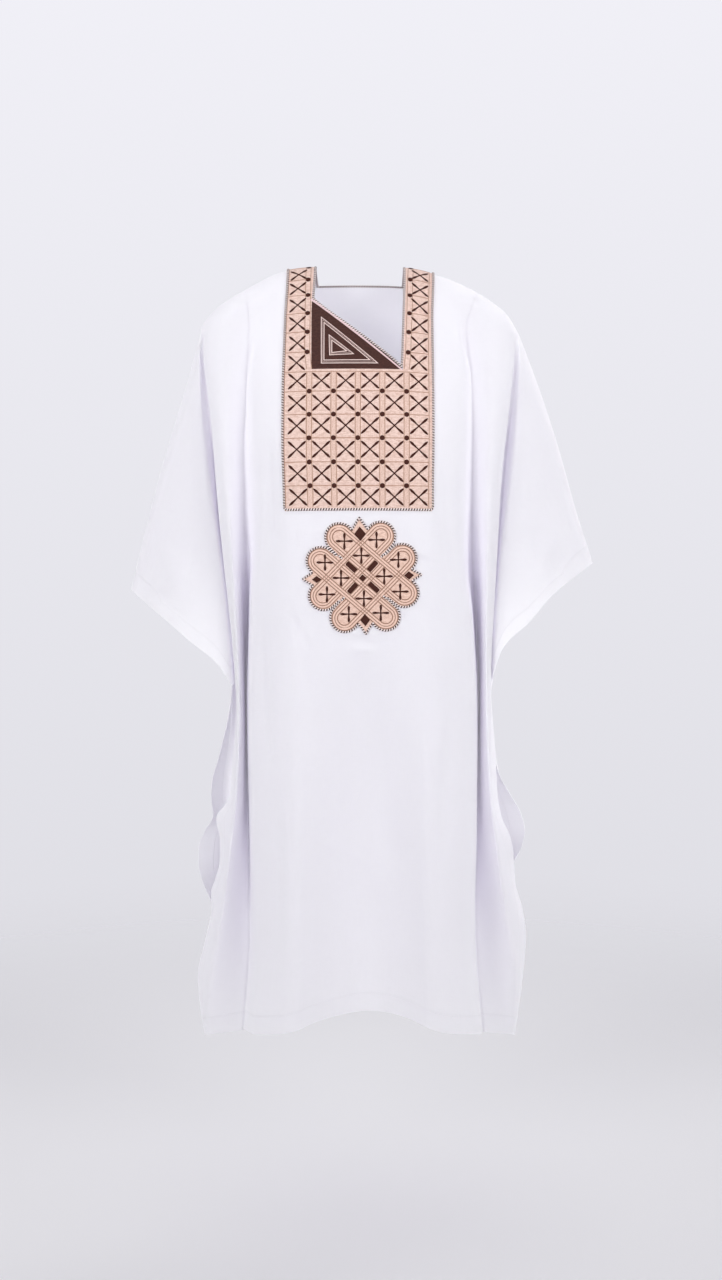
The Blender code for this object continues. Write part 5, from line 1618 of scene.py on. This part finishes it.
class BOUBOU_OT_medallion(bpy.types.Operator):
    """Embroider the eight-lobed medallion."""

    bl_idname = "boubou.medallion"
    bl_label = "Medallion"

    def execute(self, context):
        colours = context.scene.boubou_embroidery
        _, _, chart = cloth_of(context)
        angles = turns(PATCH_AROUND)
        reach = np.array([outline_reach(angle) for angle in angles])
        shares = np.linspace(0, 1, PATCH_RINGS + 1)[1:]
        out = -np.sin(angles)[:, None] * reach[:, None] * shares[None, :]
        up = np.cos(angles)[:, None] * reach[:, None] * shares[None, :]
        places = np.concatenate((pairs(*medallion_place(out.ravel(), up.ravel())),
                                 (medallion_place(0.0, 0.0),)))
        top = chart.lay(places, PATCH_LIFT + BIB_CLOTH / 2)
        under = chart.lay(places, PATCH_LIFT - BIB_CLOTH / 2)
        count = len(places)
        spokes = np.arange(count - 1).reshape(-1, PATCH_RINGS).tolist()
        faces, rim = [], []
        for here, ahead in zip(spokes, spokes[1:] + spokes[:1]):
            faces.append([count - 1, here[0], ahead[0]])
            faces += [[*inner, *outer[::-1]] for inner, outer in
                      zip(zip(here, here[1:]), zip(ahead, ahead[1:]))]
            rim.append((here[-1], ahead[-1]))
        light, deep = tint(colours.ground, PATCH_TINT), tint(colours.ground_deep, PATCH_TINT)
        ground = satin_ground("patch_ground", light, deep, pitch=0.0016, length=0.0050)
        piece = add_mesh("medallion_ground", np.concatenate((top, under)),
                         two_sided(faces, rim, count), ground)
        add_map(piece, "cut", np.concatenate((places, places)))
        sew(piece, "peach_embroidery", "medallion")

        bands, lines, darks = (Stitching(chart, PATCH_BASE) for _ in range(3))
        first, second = PETALS

        def lay(points):
            return pairs(*medallion_place(points[:, 0], points[:, 1]))

        for lean, lift in ((RIGHT, 0.0), (LEFT, LOOP_OVER / 4)):
            for turn in (1, -1):
                ends = ((turn * lean * first.out, turn * first.up),
                        (-turn * lean * second.out, -turn * second.up))
                for work, *shape, offset in ((bands, *LOOP_BAND, FLAT, 0.0),
                                             (lines, *LOOP_LINE, DOMED, -LOOP_BAND[0] / 2),
                                             (lines, *LOOP_LINE, DOMED, 0.0),
                                             (lines, *LOOP_LINE, DOMED, LOOP_BAND[0] / 2)):
                    loop = stadium(*ends, LOOP_ROUND + offset)
                    work.line(lay(loop), *shape, closed=True,
                              base=PATCH_BASE + lift + loop_lift(loop, ends))

        def upright_cross(out, up):
            cross(darks, medallion_place(out, up), PATCH_CROSS_WIDE, CROSS_HIGH, colours.relief,
                  turned=True)

        for out_way, up_way in ((1, 0), (-1, 0), (0, 1), (0, -1)):
            upright_cross(out_way * INNER_CROSS, up_way * INNER_CROSS)
        for out_way, up_way in ((1, 1), (1, -1), (-1, 1), (-1, -1)):
            for out, up in OUTER_CROSSES:
                upright_cross(out_way * out, up_way * up)
            slant = math.atan2(up_way, out_way)
            turned = pairs(SLAB[:, 0] * math.cos(slant) - SLAB[:, 1] * math.sin(slant),
                           SLAB[:, 0] * math.sin(slant) + SLAB[:, 1] * math.cos(slant))
            darks.plate(spread(lay(turned), SLAB_STEP, closed=True), colours.relief)
        for diamond in DIAMONDS:
            half = np.array((diamond.wide, diamond.high)) / 2
            corners = half * ((-1, 0), (0, 1), (1, 0), (0, -1)) + (diamond.out, diamond.up)
            darks.plate(lay(corners), colours.relief, base=PATCH_BASE + DIAMOND_LIFT)
        band = thread("patch_band_thread", light, deep, BAND_PITCH, slant=0.6)
        brown = tint(colours.band, (0.76, 0.72, 0.70))
        outline = thread("patch_line_thread", brown, tint(brown, 0.7), LINE_PITCH, slant=0.4)
        sew(bands.make("medallion_bands", band), "peach_embroidery")
        sew(lines.make("medallion_lines", outline), "peach_embroidery")
        sew(darks.make("medallion_darks", dark_satin("patch_dark_thread", colours)),
            "brown_satin")
        return {"FINISHED"}


class BOUBOU_OT_edging(bpy.types.Operator):
    """Lay the twisted rope round the neck, the chest field and the medallion."""

    bl_idname = "boubou.edging"
    bl_label = "Rope edging"

    def execute(self, context):
        settings = context.scene.boubou_edging
        net, chart, level_chart = cloth_of(context)
        material = rope_threads("rope", settings)
        half = settings.width / 2

        def twist(name, points, normals, closed, share=1.0):
            return rope(name, points, normals, settings.width * share, settings.height, material,
                        closed, settings.pitch)

        # Round the neck, just inside its edge
        behind = -run_at(NECK_BACK)
        loop = sides_of(((-1.0, 0.0), (-1.0, run_at(NECK_LEVEL)), (1.0, run_at(NECK_BOTTOM)),
                         (1.0, behind), (-1.0, behind)), NECK_ROPE_STEPS)
        points, normals = net.at(loop[:, 0], loop[:, 1])
        before = unit(points - np.roll(points, 1, axis=0))
        after = unit(np.roll(points, -1, axis=0) - points)
        inward = unit(np.cross(normals, before)) + unit(np.cross(normals, after))
        inward /= (1.0 + np.sum(before * after, axis=1))[:, None]
        points = points + inward * (half + SEAM_GAP) + normals * EDGING_LIFT
        ring = spread(np.concatenate((points, normals * MM), axis=1), ROPE_STEP, closed=True)
        laid = smooth_path(ring[:, :3], unit(ring[:, 3:]), 3)
        sew(twist("neck_rope", *laid, True), "rope_edging", "neck_binding")

        # Round the chest field, just inside its edge
        edges, back_end, bottom = field_edges(net, chart.down_rows)
        foot = bottom - half - 0.0002
        down = np.linspace(back_end, foot - CORNER_ROUND, 90)
        left, right = edges(down)
        turn = np.linspace(0, math.pi / 2, 12)
        left_foot, right_foot = edges(foot)[0] + half, edges(foot)[1] - half
        early, late = (CORNER_ROUND * (1 - share) for share in (np.cos(turn), np.sin(turn)))
        corner_left = pairs(left_foot + early, foot - late)
        corner_right = pairs(right_foot - late, foot - early)
        way = np.concatenate((pairs(left + half, down), corner_left[1:], corner_right,
                              pairs(right - half, down)[::-1][1:]))
        height = FIELD_BASE + settings.height * EDGING_RISE
        laid = chart.lay_facing(spread(way, ROPE_STEP), height)
        sew(twist("chest_rope", *laid, False), "rope_edging")

        # Round the medallion, and into the notches between its petals
        angles = turns(OUTLINE_STEPS)
        reach = np.array([outline_reach(angle) for angle in angles]) - half * 0.9
        outline = pairs(*medallion_place(-np.sin(angles) * reach, np.cos(angles) * reach))
        height = PATCH_LIFT + BIB_CLOTH / 2 + settings.height * EDGING_RISE
        laid = level_chart.lay_facing(spread(outline, ROPE_STEP, closed=True), height)
        sew(twist("medallion_rope", *smooth_path(*laid, 2), True, PATCH_ROPE), "rope_edging")
        for number in range(4):
            slant = math.pi / 4 + number * math.pi / 2
            ends = [medallion_place(reach * math.cos(slant), reach * math.sin(slant))
                    for reach in (CORE - 0.001, NOTCH_REACH)]
            laid = level_chart.lay_facing(spread(ends, ROPE_STEP), height)
            sew(twist(f"notch_rope_{number + 1}", *laid, False, PATCH_ROPE), "rope_edging")
        return {"FINISHED"}


class BOUBOU_OT_stage(bpy.types.Operator):
    """Set up the floor, the soft light and the camera."""

    bl_idname = "boubou.stage"
    bl_label = "Floor, light and camera"

    def execute(self, context):
        settings = context.scene.boubou_stage
        scene = context.scene
        camera = bpy.data.objects.new("camera", bpy.data.cameras.new("camera"))
        scene.collection.objects.link(camera)
        camera.location = CAMERA_PLACE
        camera.rotation_euler = (CAMERA_TILT, 0.0, 0.0)
        camera.data.lens = CAMERA_LENS
        camera.data.sensor_fit = "VERTICAL"
        camera.data.sensor_height = PICTURE_HEIGHT
        scene.camera = camera
        scene.view_settings.view_transform = "Standard"
        scene.cycles.max_bounces = LIGHT_BOUNCES
        scene.cycles.diffuse_bounces = LIGHT_BOUNCES
        world = bpy.data.worlds.new("pale_room")
        world.use_nodes = True
        room = Nodes(world.node_tree)
        _, ahead, rise = room.parts(room.node("TexCoord").outputs["Generated"])
        shares = [room.node("MapRange", way, *stretch).outputs[0]
                  for way, stretch in ((rise, SKY_RISE), (ahead, SKY_BEHIND))]
        sky = world.node_tree.nodes["Background"]
        room.join(settings.paper, sky.inputs["Color"])
        room.join(room.maths("MULTIPLY", *shares), sky.inputs["Strength"])
        scene.world = world
        for lamp in LAMPS:
            light = bpy.data.lights.new(lamp.name, "AREA")
            light.shape = "RECTANGLE"
            light.size, light.size_y = lamp.wide, lamp.high
            light.spread = LAMP_SPREAD
            light.energy = lamp.share * getattr(settings, lamp.kind)
            holder = bpy.data.objects.new(lamp.name, light)
            holder.location = (lamp.x, lamp.y, lamp.z)
            aim = Vector((0.0, 0.0, lamp.aim)) - holder.location
            holder.rotation_euler = aim.to_track_quat("-Z", "Y").to_euler()
            scene.collection.objects.link(holder)
        self.floor(settings)
        return {"FINISHED"}

    def floor(self, settings):
        """Make a round floor that fades into the room at its rim."""
        angles = turns(FLOOR_AROUND)
        rim = np.stack((np.cos(angles), np.sin(angles), np.zeros(FLOOR_AROUND)), axis=1)
        finish = Finish("floor_paint", 0.7)
        x, y, _ = finish.parts(finish.node("TexCoord").outputs["Object"])
        reach = finish.maths("SQRT", finish.maths("MULTIPLY_ADD", x, x,
                                                  finish.maths("MULTIPLY", y, y)))
        colour = finish.blend(finish.noise(x, y, 3.0), tint(settings.floor_colour, 0.99),
                              settings.floor_colour)
        finish.done(colour, finish.noise(x, y, 180.0), 0.0002)
        clear = finish.node("BsdfTransparent").outputs[0]
        fade = finish.ramp(reach, FLOOR_REACH * 0.35, FLOOR_REACH * 0.98)
        faded = finish.node("MixShader", fade, finish.shader.outputs[0], clear).outputs[0]
        finish.join(faded, finish.tree.nodes["Material Output"].inputs["Surface"])
        return add_mesh("floor", rim * FLOOR_REACH + (0.0, 0.0, settings.floor),
                        [list(range(FLOOR_AROUND))], finish.material)


class BOUBOU_PT_pieces(bpy.types.Panel):
    """Lists the pieces of the robe and their settings."""

    bl_idname = "BOUBOU_PT_pieces"
    bl_label = "Grand boubou"
    bl_space_type = "VIEW_3D"
    bl_region_type = "UI"
    bl_category = "Boubou"

    def draw(self, context):
        layout = self.layout
        for title, group, names in PANEL_ROWS:
            box = layout.box()
            box.label(text=title)
            settings = getattr(context.scene, group)
            for name in settings.__annotations__:
                box.prop(settings, name)
            for name in names:
                box.operator(name)


PANEL_ROWS = (
    ("Cloth", "boubou_cloth", ("boubou.cloth",)),
    ("Embroidery", "boubou_embroidery",
     ("boubou.chest_field", "boubou.neck_corner", "boubou.medallion")),
    ("Edging", "boubou_edging", ("boubou.edging",)),
    ("Stage", "boubou_stage", ("boubou.stage",)),
)
SETTINGS = {"boubou_cloth": ClothSettings, "boubou_embroidery": EmbroiderySettings,
            "boubou_edging": EdgingSettings, "boubou_stage": StageSettings}
CLASSES = (*SETTINGS.values(), BOUBOU_OT_cloth, BOUBOU_OT_chest_field, BOUBOU_OT_neck_corner,
           BOUBOU_OT_medallion, BOUBOU_OT_edging, BOUBOU_OT_stage, BOUBOU_PT_pieces)


def register():
    for kind in CLASSES:
        bpy.utils.register_class(kind)
    for name, group in SETTINGS.items():
        setattr(bpy.types.Scene, name, PointerProperty(type=group))


def unregister():
    for name in SETTINGS:
        delattr(bpy.types.Scene, name)
    for kind in reversed(CLASSES):
        bpy.utils.unregister_class(kind)


def main():
    """Build every piece in order."""
    register()
    for run in (bpy.ops.boubou.stage, bpy.ops.boubou.cloth, bpy.ops.boubou.chest_field,
                bpy.ops.boubou.neck_corner, bpy.ops.boubou.medallion, bpy.ops.boubou.edging):
        run()


if __name__ == "__main__":
    main()
